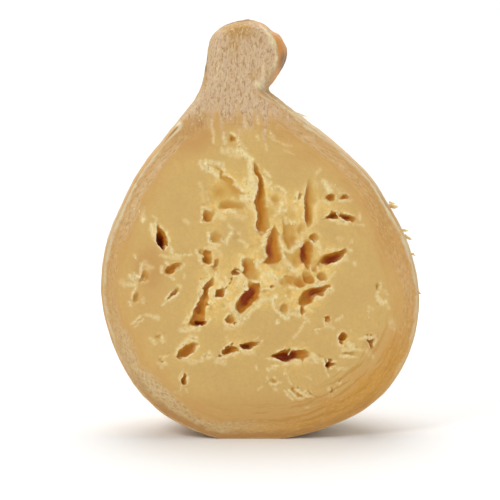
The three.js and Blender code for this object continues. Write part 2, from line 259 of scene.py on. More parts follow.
# Rounder hollows: x and z of the deepest spot, its depth, and how far the hollow
# reaches from there to the right, upper right, up, upper left, left, lower left,
# down and lower right.
HOLLOWS = (
    # beside the long groove
    (8.6, 138, 2.8, (4.6, 5, 4.8, 5.2, 5.4, 5.4, 9.5, 4.2)),
    (7.4, 129.6, 1.8, (3, 4.6, 6, 4.6, 4, 4, 4.6, 3)),
    # the dish, and the eyes below it
    (-23, 142, 3.2, (14, 10, 9, 9.5, 11, 12, 12, 13)),
    (-30.3, 126.4, 4.8, (5.4, 11, 5.6, 4, 3.2, 3.2, 2.9, 3.1)),
    (-24.9, 115, 3.6, (3.6, 4.8, 5.8, 5, 4.1, 3.6, 3.1, 3.1)),
    (-13.6, 115, 1.6, (5.2, 6.4, 5.4, 3.6, 2.4, 2.6, 3.2, 4.2)),
    (-30.6, 103.2, 5.4, (3.1, 5.2, 6.2, 3.6, 2.8, 3.1, 3.6, 3.5)),
    (-33.8, 107.2, 2.6, (2.6, 3, 3.4, 2.4, 1.4, 1.6, 2.2, 2.6)),
    (-27.4, 75.4, 1.8, (3, 3.6, 3.6, 3, 2.6, 3, 4.6, 3.4)),
    # the pockets between the chain and the spindle
    (-21.8, 83.3, 5.8, (2.2, 3.6, 3.2, 3.8, 3.4, 3.3, 2.4, 2.4)),
    (-13.2, 94.8, 6, (2.7, 2.2, 2.1, 2.4, 3.6, 2.3, 1.8, 2.1)),
    (-17.9, 67.8, 4.8, (3.3, 5.4, 4.2, 2.5, 2.6, 2.8, 2.5, 3)),
    # the block above the spindle and its shallow step
    (-7.2, 98, 5.4, (4.8, 6.2, 5.8, 5.4, 2.4, 3.8, 8.5, 8)),
    (-2.6, 92.8, 2.6, (4.6, 5.2, 5.4, 5.4, 5.4, 3.4, 2.2, 3)),
    (-5.2, 88, 2.4, (2.2, 2.2, 3.2, 2.2, 1.7, 1.9, 2.8, 2.4)),
    # between the deep hollow and the valley
    (9, 98.4, 1.8, (9.5, 6, 3.2, 4.8, 8.5, 5, 4, 6.5)),
    (20.6, 103.4, 2.4, (3.6, 6, 5, 7, 7, 8.5, 8.5, 5.4)),
    (23.4, 119.8, 2.2, (2.6, 3.6, 6, 3.8, 2.8, 2.6, 2.6, 2.2)),
    (30.5, 115.8, 4.4, (3.1, 3.1, 2.7, 2.5, 2.3, 2.1, 3, 3.8)),
    (23.6, 88.2, 4.6, (3.1, 4.2, 5.6, 5, 3.3, 2.3, 2.4, 2.5)),
    (28.2, 90.6, 4.6, (2.5, 3, 4.8, 6, 3.5, 2.3, 1.7, 1.8)),
    (25.8, 95.4, 1.8, (2.4, 3.2, 5, 4, 3.2, 3.6, 5.4, 3.2)),
    (35.2, 92.2, 4, (4.1, 4.8, 3.8, 3.5, 3.1, 2.2, 1.7, 2.1)),
    (12.8, 90, 2.5, (3.8, 4.8, 4.4, 3.8, 3, 3.8, 6, 5.2)),
    (14.2, 75.2, 3.6, (2.2, 2.7, 2.9, 3.2, 3.3, 5.2, 5.2, 3.4)),
    # broad soft slopes between the hollows
    (4, 131, 2.4, (7.5, 8, 10, 4, 4, 4, 9, 8)), (19, 128, 1.9, (6.5, 7, 15, 11, 8, 8, 9, 7)),
    (30, 136, 2, (6, 7, 12, 6, 5, 5, 12, 6)), (18, 99, 2.3, (8, 8, 10, 9, 8, 8, 8, 8)),
    (16.5, 91.6, 2.6, (5, 4, 3.6, 5, 8, 6, 4, 4)), (5, 80, 1.6, (8, 7, 7, 5, 5, 6, 9, 8)),
    (-5, 110, 1.4, (6, 6, 8, 9, 9, 7, 6, 6)), (-24, 96, 1.5, (6, 7, 6, 6, 6, 7, 7, 6)),
    (-20, 76, 1.4, (5, 5, 5, 5, 5, 5, 5, 5)), (17, 84, 2.2, (5, 5, 5, 5, 6, 5, 6, 5)),
    # lower left
    (-44, 32.2, 6.2, (2.3, 2.1, 2.1, 2.2, 2.3, 1.9, 1.9, 1.8)),
    # lower right
    (47, 57.9, 6.4, (2.8, 2.2, 2.5, 2.2, 2.9, 2.2, 2.1, 2.2)),
    (39, 41.9, 8.6, (2.6, 2.7, 2.8, 1.8, 2, 1.9, 3.2, 1.8)),
    (62.8, 55.2, 6.4, (1.7, 2.4, 1.8, 2.5, 1.8, 1.8, 5, 1.8)),
    (8, 32.9, 3.4, (2.9, 2.5, 2.5, 2.5, 2.9, 1.9, 1.6, 2)),
    (-16, 171.4, 1.8, (2.7, 2.5, 2.7, 2.3, 2.3, 2.3, 2.5, 2.7)),
)

# Cracks, slits and small pits with pointed ends: x and z of the middle, length
# along the tilt, width across it, depth, tilt from +X towards +Z in degrees.
CRACKS = (
    # the line inside the shoulder's rind
    (6.6, 193, 9.4, 1.2, 1.4, -41), (15.4, 187.6, 11.4, 1.1, 1.2, -29),
    (26, 181.6, 12, 1, 0.9, -32),
    # the crown pit and the crack into the groove
    (-15.4, 171.8, 5.4, 2.3, 4, -48), (-20, 167, 3, 0.9, 1.2, -55),
    # the torn sheet's edge
    (-24.4, 156.6, 3.4, 1.4, 2.2, -42), (-31.9, 134.6, 3.2, 1.5, 2.2, 70),
    (-27.4, 98.9, 2.8, 1.4, 1.8, 5), (-25.4, 100, 8.4, 2.8, 2.8, 78),
    (-24.6, 97, 3, 1.2, 1.8, 70), (-30, 106.8, 6, 2, 4.4, 15),
    # beside the groove
    (10.6, 142.2, 3.4, 1.2, 2.4, -22), (22.4, 138.4, 6.8, 1.3, 3.4, 76),
    # the chain of tears
    (-34.6, 66.4, 8.6, 2.6, 9.6, 16), (-32.3, 85.8, 2.6, 1.2, 3.4, -5),
    (-30, 77.2, 2.4, 1.2, 4, -30), (-28.4, 70.8, 2.8, 1.4, 1.6, -60),
    (-43.8, 63.4, 3.4, 1.2, 1.5, 66),
    # pockets
    (-18.9, 86.6, 3.6, 1.1, 2.6, 35), (-17.5, 89.4, 5.4, 1.7, 2.4, 66),
    (-16.6, 91.5, 2.4, 2, 3.6, 10), (-13.6, 97.4, 4.4, 1.1, 2.2, 48),
    (-24.8, 81.9, 2.4, 1.3, 3, -10), (-14.9, 65.3, 2.6, 1.7, 3.2, 42),
    (-10, 94.8, 2.4, 1.2, 2.8, 0),
    # around the middle
    (3.6, 84.6, 6.4, 1.2, 1.9, 0), (7.2, 87.2, 3.4, 2.8, 3.4, -20),
    (14.6, 92.8, 3, 1.8, 2.4, 10), (18, 92, 4, 1.4, 1.6, 0), (23.8, 73.6, 8.6, 2.6, 3.2, 88),
    (25.6, 72.6, 3, 1, 1.6, 70),
    # the crack below the slot and its pair
    (31.5, 97.3, 3.8, 1.4, 2.6, 55), (31, 113.4, 4.4, 1.3, 3.6, -35),
    (33, 119, 2.4, 1.1, 1.4, 60),
    # upper right
    (40.6, 130.2, 2.2, 1.4, 4.6, 80), (55.6, 123.6, 6, 1, 1.2, -14),
    (35, 82.5, 3.8, 1.6, 5.6, 18), (29.4, 79.6, 4, 1.6, 5, 55),
    # left
    (-53.4, 111.2, 2.6, 1.6, 5, -75), (-51.7, 92.7, 2.2, 1.4, 2.4, -15),
    (-46.6, 106.8, 4, 1.5, 1.7, -18), (-41.6, 107, 6.4, 1.1, 1.6, -6),
    (-69.2, 67.8, 4.8, 1, 3.8, 38), (-58.8, 58, 4.6, 1.7, 2.6, 28),
    (-55.6, 59.6, 3.2, 1.1, 1.5, 30),
    # lower left
    (-46.4, 45.8, 4, 1.2, 3.4, -28), (-47, 47.2, 3.4, 1.4, 3, 70),
    (-38.3, 56.8, 2.6, 1.1, 3.4, -22), (-57.3, 45.4, 3.4, 1.3, 2.6, 96),
    (-56, 43.8, 3.2, 1.6, 3.4, -4), (-52.4, 48.8, 3.8, 1.2, 2, 38),
    (-58.2, 40.4, 2.2, 0.9, 1.3, 88), (-43.5, 35, 4, 1.9, 4.6, 88),
    (-44.4, 28.4, 3.4, 1, 2.4, -74), (-31.6, 46.5, 2, 1.5, 2.2, 25),
    (-29.8, 47.7, 1.6, 1.1, 1.6, 30), (-33.8, 45.2, 1.6, 1, 1.2, 70), (-27, 45.6, 2.2, 1, 1, 80),
    # cracks across the lower middle
    (-23, 47, 3.2, 1.9, 5.2, 14), (-15.8, 53.8, 3.2, 1, 2.8, 36), (-18, 53, 2, 0.9, 2.8, 20),
    (16.4, 50.6, 2.6, 1.5, 5, 50), (24.4, 44.2, 3.8, 1.6, 3.6, 80), (9.4, 43.1, 6, 1.1, 2, 4),
    (7, 42, 2.4, 1, 1.8, 50), (2.7, 29.6, 3.6, 1.1, 1.9, -35), (5.8, 27.6, 2.4, 1.1, 1.7, -35),
    (22.2, 28.3, 4.8, 1.2, 3, -12), (25.1, 26.6, 3.6, 1.2, 3.4, -48),
    (28.6, 25.7, 6.2, 1.3, 3.4, -46), (19.2, 27.5, 6.4, 2.3, 2.6, -62),
    (22.9, 24.2, 7, 2.2, 2.3, -28), (17.7, 24.7, 6.2, 0.9, 1.6, -50),
    (24.3, 19.8, 2, 1.2, 1.2, 0), (17.3, 34.4, 3.6, 0.9, 1, -58),
    # the small star and the slits on the lower right
    (40.8, 44.2, 2.6, 1.2, 4.4, -35), (38.6, 44.6, 2.6, 1.2, 4.6, 100),
    (41.4, 41.8, 3.4, 1.5, 5, 10), (38.9, 39.2, 2.8, 1.3, 4.6, 92),
    (43.2, 41.8, 1.8, 1.3, 2.2, 0), (42.6, 40.5, 1.4, 1.1, 1.6, 0),
    (34.6, 47.1, 4.2, 1, 2.2, -36), (36.6, 44.4, 3.8, 1.1, 3.2, -72),
    (38.3, 68.8, 4.2, 1.6, 4.8, 18), (37.2, 66.8, 3.6, 1.2, 3.6, 82),
    (38.8, 67.2, 3.2, 2.4, 2, 30), (32.8, 62.5, 3.8, 1.1, 3.4, 38),
    (30.8, 70.8, 2.6, 1.1, 1.2, -50), (31, 58.8, 2.4, 0.8, 1.1, 12),
    (27.8, 57, 3.2, 0.8, 1.1, 40), (46, 55.2, 2.8, 1.6, 3.6, -52),
    (50.4, 48.3, 11.5, 1.5, 2.2, 0), (55.2, 52, 3.4, 1.3, 2.6, -38),
    (49.2, 53.4, 2.4, 1.4, 1.3, 20), (52.6, 55.2, 3.2, 1, 1.2, -20), (44, 52, 1.6, 1, 1.1, 0),
    (62.2, 58.8, 4.4, 1.2, 3.4, 4), (64.2, 56.9, 1.8, 1.2, 3.6, 30),
    (64.2, 52.6, 2.4, 1.1, 3.4, 80), (46.6, 33.4, 4.2, 1.3, 3.8, 62),
    (41, 28, 4.4, 1.1, 3.4, 88), (40.6, 26, 2.4, 1.4, 3.4, -18), (35, 32.4, 1.8, 1.5, 2.2, 0),
    (37.7, 32.5, 1.4, 1.2, 1, 0), (47.2, 20.4, 2, 1.4, 1.4, 30), (63.2, 70.5, 1.8, 1.5, 2.4, 0),
    (61.6, 68.2, 1.6, 1.2, 1, 0), (67, 87.2, 5.4, 2, 3, 88), (67.8, 77.4, 2.6, 1.2, 1.6, -30),
    (71.2, 77, 1.4, 1.2, 1.8, 0), (71.1, 82, 1.8, 1.1, 1.4, 30),
    (71.2, 80.4, 2.4, 0.9, 1.2, -20),
)

# Torn, pale curd: from x and z to x and z, half width, strength.
TORN = (
    # above and left of the torn sheet
    (-34.2, 159, -33, 155, 1, 0.9), (-31.2, 159, -30.2, 153.6, 1.2, 1),
    (-29.2, 155, -25, 151, 1.3, 1), (-28.6, 158.8, -23.6, 157.4, 1.2, 0.9),
    (-24, 158, -21.8, 156.4, 0.8, 1), (-21.4, 157, -21, 151.4, 0.7, 0.9),
    (-19.6, 150.6, -16.2, 149.8, 0.5, 0.8), (-15.2, 148.4, -14.4, 146, 0.6, 1),
    (-13.6, 146, -9.2, 141.8, 0.6, 1), (-21, 164.6, -10, 164, 2.4, 0.55),
    (-18.6, 162, -12, 161.6, 1, 0.35), (-12, 165.6, -5.2, 159.6, 1.7, 1),
    (-6.4, 160, -5.6, 151, 1.3, 1), (-5.6, 151, -3.4, 141, 1.9, 0.9),
    (-8.6, 147.4, -6.4, 142.2, 1.9, 0.7), (-10.4, 139, -4, 138.2, 1.6, 1),
    (-7, 136, -3.6, 131, 1.8, 0.7), (-2.9, 131, -2.8, 121, 0.9, 0.8),
    (-2.6, 119.8, 1.6, 118.4, 0.8, 0.9), (-21, 129.8, -14.4, 129.6, 0.8, 0.8),
    (-24.8, 129.2, -27, 124.8, 0.7, 0.9), (-24, 129, -21, 126, 1.6, 0.5),
    (-16, 128.6, -10, 126.4, 1.6, 0.4), (-33.8, 132.4, -28, 131.2, 0.9, 0.7),
    (-34.2, 146, -33, 136, 1, 0.35), (-34, 130, -33.6, 124, 0.8, 0.8),
    # right of the groove
    (2.2, 152.8, 5.4, 150.4, 1, 1), (1, 149.8, 2.4, 148.8, 0.7, 0.8),
    (2.4, 147.4, 4.6, 145.6, 1.1, 0.7), (6.2, 146.8, 5.2, 144.4, 0.8, 0.9),
    (6.8, 143.4, 10.2, 144.6, 0.8, 1), (11.2, 143, 14.6, 140.4, 1, 0.8),
    (13.8, 139.6, 14.2, 135, 0.8, 0.6), (12.2, 135.8, 10.8, 130, 0.9, 1),
    (11.6, 130.6, 15.4, 131.4, 1, 0.8), (3, 139, 4.4, 134, 0.7, 0.4),
    (8.4, 127.8, 10.6, 128.8, 0.7, 0.6), (21.4, 141, 20.6, 136, 0.9, 1),
    (23.8, 139, 23.4, 134, 0.8, 0.7), (24.7, 142.6, 24.6, 127, 0.5, 0.6),
    (25.6, 126, 26.2, 123.4, 0.5, 0.8), (14.8, 126.8, 15, 123.4, 0.8, 0.6),
    (17.2, 124.6, 20, 124.2, 1, 0.7), (36.4, 147, 39.2, 141.8, 1.7, 1),
    (34.4, 155.4, 32, 151.8, 0.9, 0.5), (40, 145, 45, 143, 1.8, 0.3),
    (31.6, 134, 32.4, 124, 0.9, 0.4), (24.6, 117.8, 24, 114.6, 1.1, 0.5),
    # upper right
    (36, 136.4, 39, 134.8, 1.1, 0.6), (42.8, 137.6, 43.4, 139.8, 0.5, 0.9),
    (44.6, 141.6, 51, 140.4, 0.7, 0.7), (45, 136.6, 52, 137, 0.9, 0.6),
    (42, 131.6, 43.6, 131.4, 0.6, 1), (40.6, 124.9, 45.2, 124.8, 0.8, 0.8),
    (45.4, 129, 48.4, 124.4, 0.6, 1), (44, 123.4, 49, 123.6, 0.9, 0.6),
    (48, 129.6, 52.8, 128.2, 0.5, 0.7), (56.2, 129, 56.4, 125.6, 0.8, 0.9),
    (52, 123, 59, 122, 0.8, 0.6), (37, 128.6, 38.6, 130, 0.6, 0.5),
    (56.6, 141.8, 58.6, 140.8, 0.9, 0.7),
    # left of the deep hollow, and the pale plateau in the middle
    (4.4, 117.4, 1.2, 114, 1.4, 0.8), (3.6, 113.6, 1.6, 110.4, 1.5, 1),
    (2.2, 110, 3.2, 105, 1.1, 1), (4.2, 104.4, 0.2, 100.8, 1, 1),
    (6.4, 117.6, 6.2, 114.6, 0.6, 0.9), (-1.4, 102.4, -1.2, 98.4, 1.2, 0.9),
    (5.6, 100.6, 9.6, 101.2, 0.6, 0.7), (11.6, 116, 13, 108.6, 0.8, 0.8),
    (13.2, 108.2, 17.6, 107, 0.9, 0.8), (18, 107.4, 24.4, 111.6, 1.1, 0.8),
    (21.4, 113.6, 23.6, 111, 1.3, 0.8), (14, 104.6, 14.6, 101, 1, 0.6),
    (15.4, 101, 20.6, 96, 1.3, 0.8), (20.6, 96, 22, 92.8, 1, 0.5), (3, 94.6, 8, 92.4, 1.6, 0.6),
    (6, 95, 8.8, 91, 1.2, 1), (1.2, 92.4, 3, 88.6, 1.3, 0.7), (4.4, 89.2, 7.4, 89.8, 1.2, 0.6),
    (0.8, 85.6, 6, 85.6, 0.6, 0.8), (9, 81.4, 6.6, 78.2, 1.1, 0.9),
    (6.8, 79.6, 7.2, 74.6, 1.1, 0.9), (7.2, 74.6, 11.4, 69.6, 0.9, 0.9),
    (13, 69.2, 15.4, 68.4, 1.3, 1), (16, 70.4, 22, 70.2, 1.2, 0.6), (9, 67.6, 9.2, 65.2, 0.7, 1),
    (20.6, 73.6, 21.2, 71, 1, 0.7), (1.4, 80.4, 4.4, 79, 1.6, 0.6),
    (1, 80, -6.6, 70.8, 1.4, 0.7), (-7.4, 70, -9.2, 68, 1, 1), (17.6, 86.6, 18.8, 86.2, 1, 0.9),
    (14.4, 82.2, 14.8, 81.6, 0.7, 0.9),
    # the block, the spindle and their neighbours
    (-9.8, 104.2, -10.2, 95.8, 0.9, 1), (-10.6, 103, -12, 98.6, 1, 0.5),
    (-11, 92.8, -16.2, 94.4, 0.6, 1), (-11, 92, -12.6, 88, 1.8, 0.6),
    (-3.6, 90, -0.4, 89.6, 0.6, 0.8), (-7.6, 90.4, -9.4, 84.6, 1.1, 0.9),
    (-8.2, 85.2, -13.4, 79.8, 0.8, 1), (-13.6, 79.6, -15.6, 75.4, 0.9, 0.9),
    (-16.4, 77, -15.4, 73.4, 1.4, 0.7), (-14, 73.4, -11.4, 66.4, 1.9, 0.6),
    (-18.2, 72, -21.2, 68.6, 0.8, 0.8), (-21.4, 68, -20.4, 65, 1, 0.7),
    (-19.4, 64.8, -15.8, 64.2, 0.7, 0.8), (-15, 63.6, -12.4, 66, 0.6, 0.8),
    (0, 86.6, -0.6, 82, 0.6, 0.5), (-26.6, 85.4, -26, 81, 1.3, 0.8),
    (-28.4, 78.6, -25.8, 78.4, 0.8, 0.8), (-24.4, 80.4, -21.8, 80.2, 0.7, 0.8),
    (-19.4, 84.4, -17, 83.6, 0.8, 0.9), (-20.4, 81.6, -18.8, 80.6, 0.7, 0.7),
    (-25.2, 95, -24.2, 90, 0.9, 0.7), (-22.6, 89.6, -23.4, 87.2, 1.2, 0.8),
    (-20.2, 92.6, -19.4, 88, 0.8, 0.8), (-30.8, 91.2, -29.6, 89.6, 0.6, 0.8),
    (-33.6, 89.6, -31.2, 87.6, 1.4, 0.8), (-34.6, 86.4, -34.2, 83, 1.3, 0.8),
    (-33, 84.4, -34.6, 80, 0.7, 0.9), (-35.4, 79, -37.6, 75.4, 0.7, 0.9),
    (-37.9, 75, -37.6, 72.8, 0.7, 1), (-38.8, 72.4, -42, 66.6, 0.8, 0.8),
    (-30.6, 66.2, -28.8, 68, 0.8, 0.9), (-36, 64, -30.8, 66, 0.6, 0.9),
    (-45.6, 61.6, -36, 62.4, 1.5, 0.6), (-44.2, 66, -42.4, 69, 0.8, 0.6),
    # around the eyes on the left of the middle
    (-29.8, 118, -29.2, 112.8, 0.9, 0.9), (-28.8, 112, -23.4, 111.2, 0.7, 0.6),
    (-29.4, 109.6, -25.4, 109.8, 1.1, 0.7), (-21.8, 113.2, -19.6, 111.6, 1, 0.7),
    (-19.4, 113.4, -17, 117.6, 1.4, 0.9), (-18, 122, -16, 119.6, 1.2, 0.5),
    (-11, 113.2, -8.8, 112, 1.3, 0.5), (-30.9, 108.6, -29.4, 108, 0.7, 0.9),
    (-34.2, 104.6, -33.8, 100.4, 0.9, 0.9), (-30.6, 99.2, -28.6, 98.6, 0.7, 0.7),
    (-31, 97.6, -28.6, 92, 1.6, 0.5), (-24.6, 107.6, -22.4, 105, 1.5, 0.4),
    (-36.4, 108, -35.6, 102, 1, 0.6), (-13.4, 104.4, -10.4, 104.6, 0.8, 0.4),
    # around the deep hole on the left
    (-61.8, 122.6, -61.6, 116.6, 1.1, 0.9), (-59.6, 124.4, -59.4, 118.4, 0.7, 0.9),
    (-61.4, 127.4, -58.4, 125.4, 0.7, 0.5), (-60.4, 113.2, -57.6, 110.2, 0.7, 0.7),
    (-56.6, 121.4, -55.4, 119, 0.6, 0.6), (-53.8, 118.4, -52, 113.4, 0.6, 0.9),
    (-51.9, 113, -52.2, 109.6, 0.5, 0.8), (-55.2, 109, -53.6, 110.2, 0.7, 1),
    (-50.6, 109.6, -50.4, 104.6, 1.1, 0.8), (-48.2, 105.3, -39.4, 105.6, 0.7, 0.8),
    (-51.8, 104, -46, 103.4, 0.8, 0.5), (-57.4, 105, -53.2, 104.2, 0.7, 0.6),
    (-54.4, 101.4, -51.8, 99.8, 0.9, 0.8), (-56.6, 98, -56.4, 95.4, 1.2, 0.8),
    (-47.4, 96.2, -44, 98.8, 0.8, 1), (-53.8, 93.6, -49.4, 90.8, 0.7, 0.6),
    (-43.4, 93.6, -43.6, 91.8, 0.6, 0.7), (-42.6, 124.6, -41.4, 123, 1.3, 0.5),
    (-69, 128.4, -66.8, 125, 1.5, 1), (-66.8, 131.6, -66.2, 127.4, 0.9, 0.8),
    (-72.6, 132.6, -72.2, 129.6, 0.8, 0.7), (-72, 104.2, -71.6, 102.6, 0.9, 0.8),
    # far left
    (-72.4, 94.6, -66.8, 91.4, 1, 1), (-74.6, 93, -72, 91.6, 1.6, 0.8),
    (-67.6, 100, -68.4, 95.4, 0.9, 0.7), (-65.6, 100.6, -62.4, 98, 1.3, 0.4),
    (-75, 88.6, -71, 88, 1.5, 0.7), (-79.6, 90.4, -77.6, 88.4, 1.8, 0.5),
    (-71.4, 86.2, -73.4, 80, 0.7, 0.8), (-75.4, 77.8, -74.6, 76.2, 0.9, 0.9),
    (-67.6, 79.6, -67.8, 77.4, 1, 0.5), (-50, 84.2, -53.6, 79.4, 0.8, 1),
    (-47, 82.2, -50.2, 79.8, 0.6, 0.8), (-51.6, 78.8, -55.6, 76.6, 0.7, 0.7),
    (-47.4, 87, -46.4, 86.2, 0.8, 0.7), (-72.8, 66, -68.8, 69.6, 0.8, 1),
    (-70.6, 65.4, -67.2, 67.4, 0.5, 0.7), (-65.4, 70.6, -63, 70, 1.2, 0.5),
    (-61, 69.2, -58.6, 68.8, 1.4, 0.6), (-72.4, 63.8, -69.6, 64.2, 0.6, 0.5),
    # lower left
    (-57.4, 58, -55.8, 55, 1.3, 0.7), (-62.6, 56.4, -60.2, 54.4, 1.1, 0.6),
    (-48.4, 47.6, -47.6, 50.2, 0.8, 0.8), (-47.4, 50.6, -43.4, 54.4, 1.2, 0.8),
    (-43.4, 54.8, -40.2, 57.6, 1.5, 0.7), (-39.6, 58.2, -36.2, 57.4, 0.8, 0.7),
    (-39.4, 55.4, -36.2, 55.6, 0.6, 0.9), (-39.2, 48.2, -35.2, 52.2, 0.6, 0.9),
    (-45.4, 46.6, -41.8, 45.8, 0.5, 0.8), (-48, 44.6, -43.4, 44, 0.8, 0.5),
    (-42, 44.4, -38.6, 43.2, 1.8, 0.4), (-55.6, 46.4, -52.6, 46.6, 0.8, 0.6),
    (-58.6, 43, -54, 42.4, 0.8, 0.5), (-57, 41.2, -56.4, 40.2, 0.8, 0.6),
    (-58, 47.6, -57.4, 46.4, 0.6, 0.7), (-45.2, 35.2, -45.6, 33.8, 0.5, 0.5),
    (-42, 35, -41.4, 31.2, 0.5, 0.7), (-45, 38.6, -47.4, 33.6, 0.5, 0.5),
    (-45.8, 29.6, -46.2, 26.8, 0.5, 0.5), (-43, 29, -42.4, 26.6, 0.5, 0.5),
    (-49, 26.4, -45, 25, 0.6, 0.5), (-34.2, 44.4, -32.6, 47.4, 0.6, 0.8),
    (-31, 47.4, -29.4, 48.8, 0.6, 0.8), (-31.6, 45.2, -28.6, 46.4, 0.7, 0.7),
    (-37.6, 43.6, -34.2, 43.4, 0.9, 0.5), (-28.6, 48.6, -27.4, 46.8, 0.9, 0.4),
    # lower middle
    (-20.6, 52, -20.3, 50.2, 0.5, 0.9), (-19.4, 53.2, -16.8, 54.2, 0.5, 0.8),
    (-22.6, 49.2, -21.6, 47.4, 0.6, 1), (-24.6, 45.6, -19.6, 46, 0.7, 0.9),
    (-19, 47, -12.8, 48.6, 1, 0.8), (-25, 44, -20.6, 42.6, 1.4, 0.5),
    (-11.8, 52.8, -11.4, 54, 0.6, 0.7), (-11, 50.5, -5.2, 50.3, 0.6, 0.8),
    (-10, 49, -4, 48.6, 1.1, 0.5), (-4.8, 52, -2.4, 52.4, 0.6, 1),
    (-2.2, 52.6, 1.8, 56.6, 0.5, 0.8), (-3.8, 55.8, -0.4, 57.4, 0.4, 0.5),
    (-20.8, 62.4, -16.4, 62, 1.2, 0.4), (-19.2, 57.6, -18.4, 55.4, 0.8, 0.4),
    (8, 45.2, 14, 44.2, 0.5, 0.9), (14.2, 44.2, 17.6, 44.2, 0.9, 1),
    (17.8, 44.8, 23.4, 44.8, 0.9, 0.9), (18.6, 43.4, 22.6, 42.6, 1.2, 0.5),
    (9.6, 49.8, 14.6, 51.4, 0.5, 0.6), (17.6, 52, 21, 51.8, 0.6, 0.7),
    (21.4, 51.4, 25.6, 51.8, 0.4, 0.6), (3.6, 45.2, 6, 45.2, 0.8, 0.7),
    (7.2, 40.9, 10.4, 41, 0.6, 0.9), (6.4, 39.4, 8.2, 39.2, 1, 0.5),
    (12.8, 42.2, 15.6, 42.6, 0.8, 0.6), (4, 39.6, 4.8, 38.4, 0.9, 0.8),
    (-2.4, 40.6, -2, 39.4, 0.7, 0.8), (4.3, 34.6, 4.4, 33.4, 0.6, 0.8),
    (5.4, 31.4, 8, 30.8, 0.6, 0.8), (8.4, 30.8, 11.2, 32.2, 0.6, 0.7),
    (7.4, 34.4, 8.4, 34.2, 0.7, 0.8), (-1.2, 27.6, 0.6, 29.2, 0.8, 0.5),
    (8, 27.6, 9.2, 27.4, 1.1, 0.5),
    # the gouges
    (20.6, 27.6, 24.4, 25.4, 0.8, 1), (25.4, 24.6, 30.4, 22.6, 0.6, 0.9),
    (26.2, 26.8, 27.6, 25.6, 0.5, 1), (15.8, 27.4, 20.6, 22.8, 0.6, 0.9),
    (13.2, 27, 18.4, 21.4, 0.7, 0.7), (20, 22.6, 24.6, 22, 1, 0.5),
    (14.9, 39.6, 15.4, 35.8, 0.5, 0.6), (15.6, 35.4, 17.8, 31.4, 0.6, 0.6),
    (26.4, 35, 28.4, 33.4, 0.8, 0.4), (25.8, 18.6, 27.6, 16.8, 1.1, 0.4),
    # lower right
    (29.6, 47.8, 32, 44, 1.6, 0.7), (30.4, 48.2, 35.8, 43.6, 0.8, 0.6),
    (26, 43.2, 29, 42.6, 0.8, 0.4), (36.2, 43.2, 37.6, 38.6, 0.6, 0.9),
    (37.8, 38.2, 39.8, 35.4, 0.6, 0.6), (37.4, 44.6, 38, 43, 0.5, 0.9),
    (40.2, 39.2, 42.2, 41, 0.5, 0.9), (41, 43.2, 43.4, 43.8, 0.7, 0.9),
    (44.4, 39.8, 49, 40, 1.1, 0.5), (39.4, 28.6, 39, 27, 0.5, 0.8),
    (42.6, 29, 42.8, 26.6, 0.5, 0.7), (39.4, 25, 38.8, 22.4, 0.5, 0.6),
    (41.2, 24.8, 41.6, 22.4, 0.5, 0.7), (44.8, 31.4, 47, 31.4, 0.5, 0.5),
    (30.8, 61.2, 33.8, 61.8, 0.6, 0.9), (30.6, 59.8, 32.4, 59.6, 0.5, 0.6),
    (36.2, 66, 36.6, 64, 0.6, 0.8), (38.4, 63.8, 41.4, 62.6, 1.4, 0.4),
    (43.4, 67.4, 47, 69.8, 0.9, 0.6), (25, 66, 18.8, 57.6, 0.7, 0.6),
    (24.4, 69.2, 27.6, 66.8, 1.1, 0.6), (26.6, 75, 28.6, 72.6, 1.1, 0.5),
    (43.6, 59, 44, 55.6, 0.6, 0.6), (44.4, 53.6, 47.6, 52.4, 1.1, 0.5),
    (50.4, 54.2, 53.4, 51.4, 1.3, 0.8), (53.4, 53.4, 54.6, 51.6, 0.6, 0.8),
    (46.8, 50.4, 60, 50.6, 1, 0.5), (45.4, 46.6, 55.4, 46.6, 0.8, 0.6),
    (57, 56.6, 60, 57.4, 1.1, 0.6), (59.8, 57.8, 63.4, 57.7, 0.5, 1),
    (65, 58.8, 65.4, 52, 0.6, 0.8), (64, 54.4, 64.2, 53.8, 0.6, 0.9),
    (62.8, 49.2, 64.4, 46, 0.7, 0.7), (60.2, 50.4, 62, 47, 0.9, 0.4),
    (75, 66.6, 76.6, 63.4, 1.5, 0.8), (61.6, 72.4, 62.4, 70, 0.8, 0.8),
    (62.4, 75.4, 64.6, 74.8, 0.9, 0.4), (67, 81.4, 69.6, 77.8, 1.4, 0.8),
    (71.2, 79.2, 71.6, 78, 0.8, 1), (71.4, 84.4, 72.6, 82.8, 1, 0.5),
    (72.4, 76.2, 73.2, 74.2, 1, 0.5), (66.8, 83.6, 67.4, 84.2, 1, 0.6),
    (68.6, 89.4, 68.9, 85.4, 0.6, 0.5), (52.2, 61.4, 52, 60.2, 0.6, 0.5),
    # around the big tear and the valley on the right
    (35.2, 101, 43.4, 100.2, 0.7, 1), (43.8, 101.2, 48.2, 105.4, 0.9, 0.8),
    (44.6, 103, 48.6, 103.4, 1.4, 0.5), (50, 108.2, 52.4, 108.2, 0.8, 0.7),
    (37, 108, 45.6, 108.8, 0.6, 0.5), (52.6, 101.2, 53.6, 99.4, 1, 0.8),
    (32.6, 112.4, 33.6, 107.6, 1.3, 0.6), (29.4, 113.4, 31.8, 110.2, 0.6, 1),
    (33.4, 96.4, 33, 99.4, 0.6, 0.6), (29.2, 98.8, 30.6, 95.6, 1.2, 0.4),
    (31.6, 91.8, 31.2, 90.2, 0.7, 0.7), (32.4, 88, 36, 89.2, 1.2, 0.8),
    (33.2, 89.6, 34.6, 89.4, 0.6, 0.9), (30.6, 87.8, 31.8, 86.8, 0.9, 0.7),
    (36.4, 90.6, 39.8, 92.4, 0.6, 0.7), (40.2, 92.6, 42.6, 95.4, 0.9, 0.5),
    (31.2, 81, 35.8, 81.6, 0.5, 0.9), (36.2, 84, 40.4, 86.8, 0.5, 0.9),
    (36.4, 82.8, 41.2, 84.6, 1, 0.5), (31.6, 79.8, 35, 80.2, 1, 0.5),
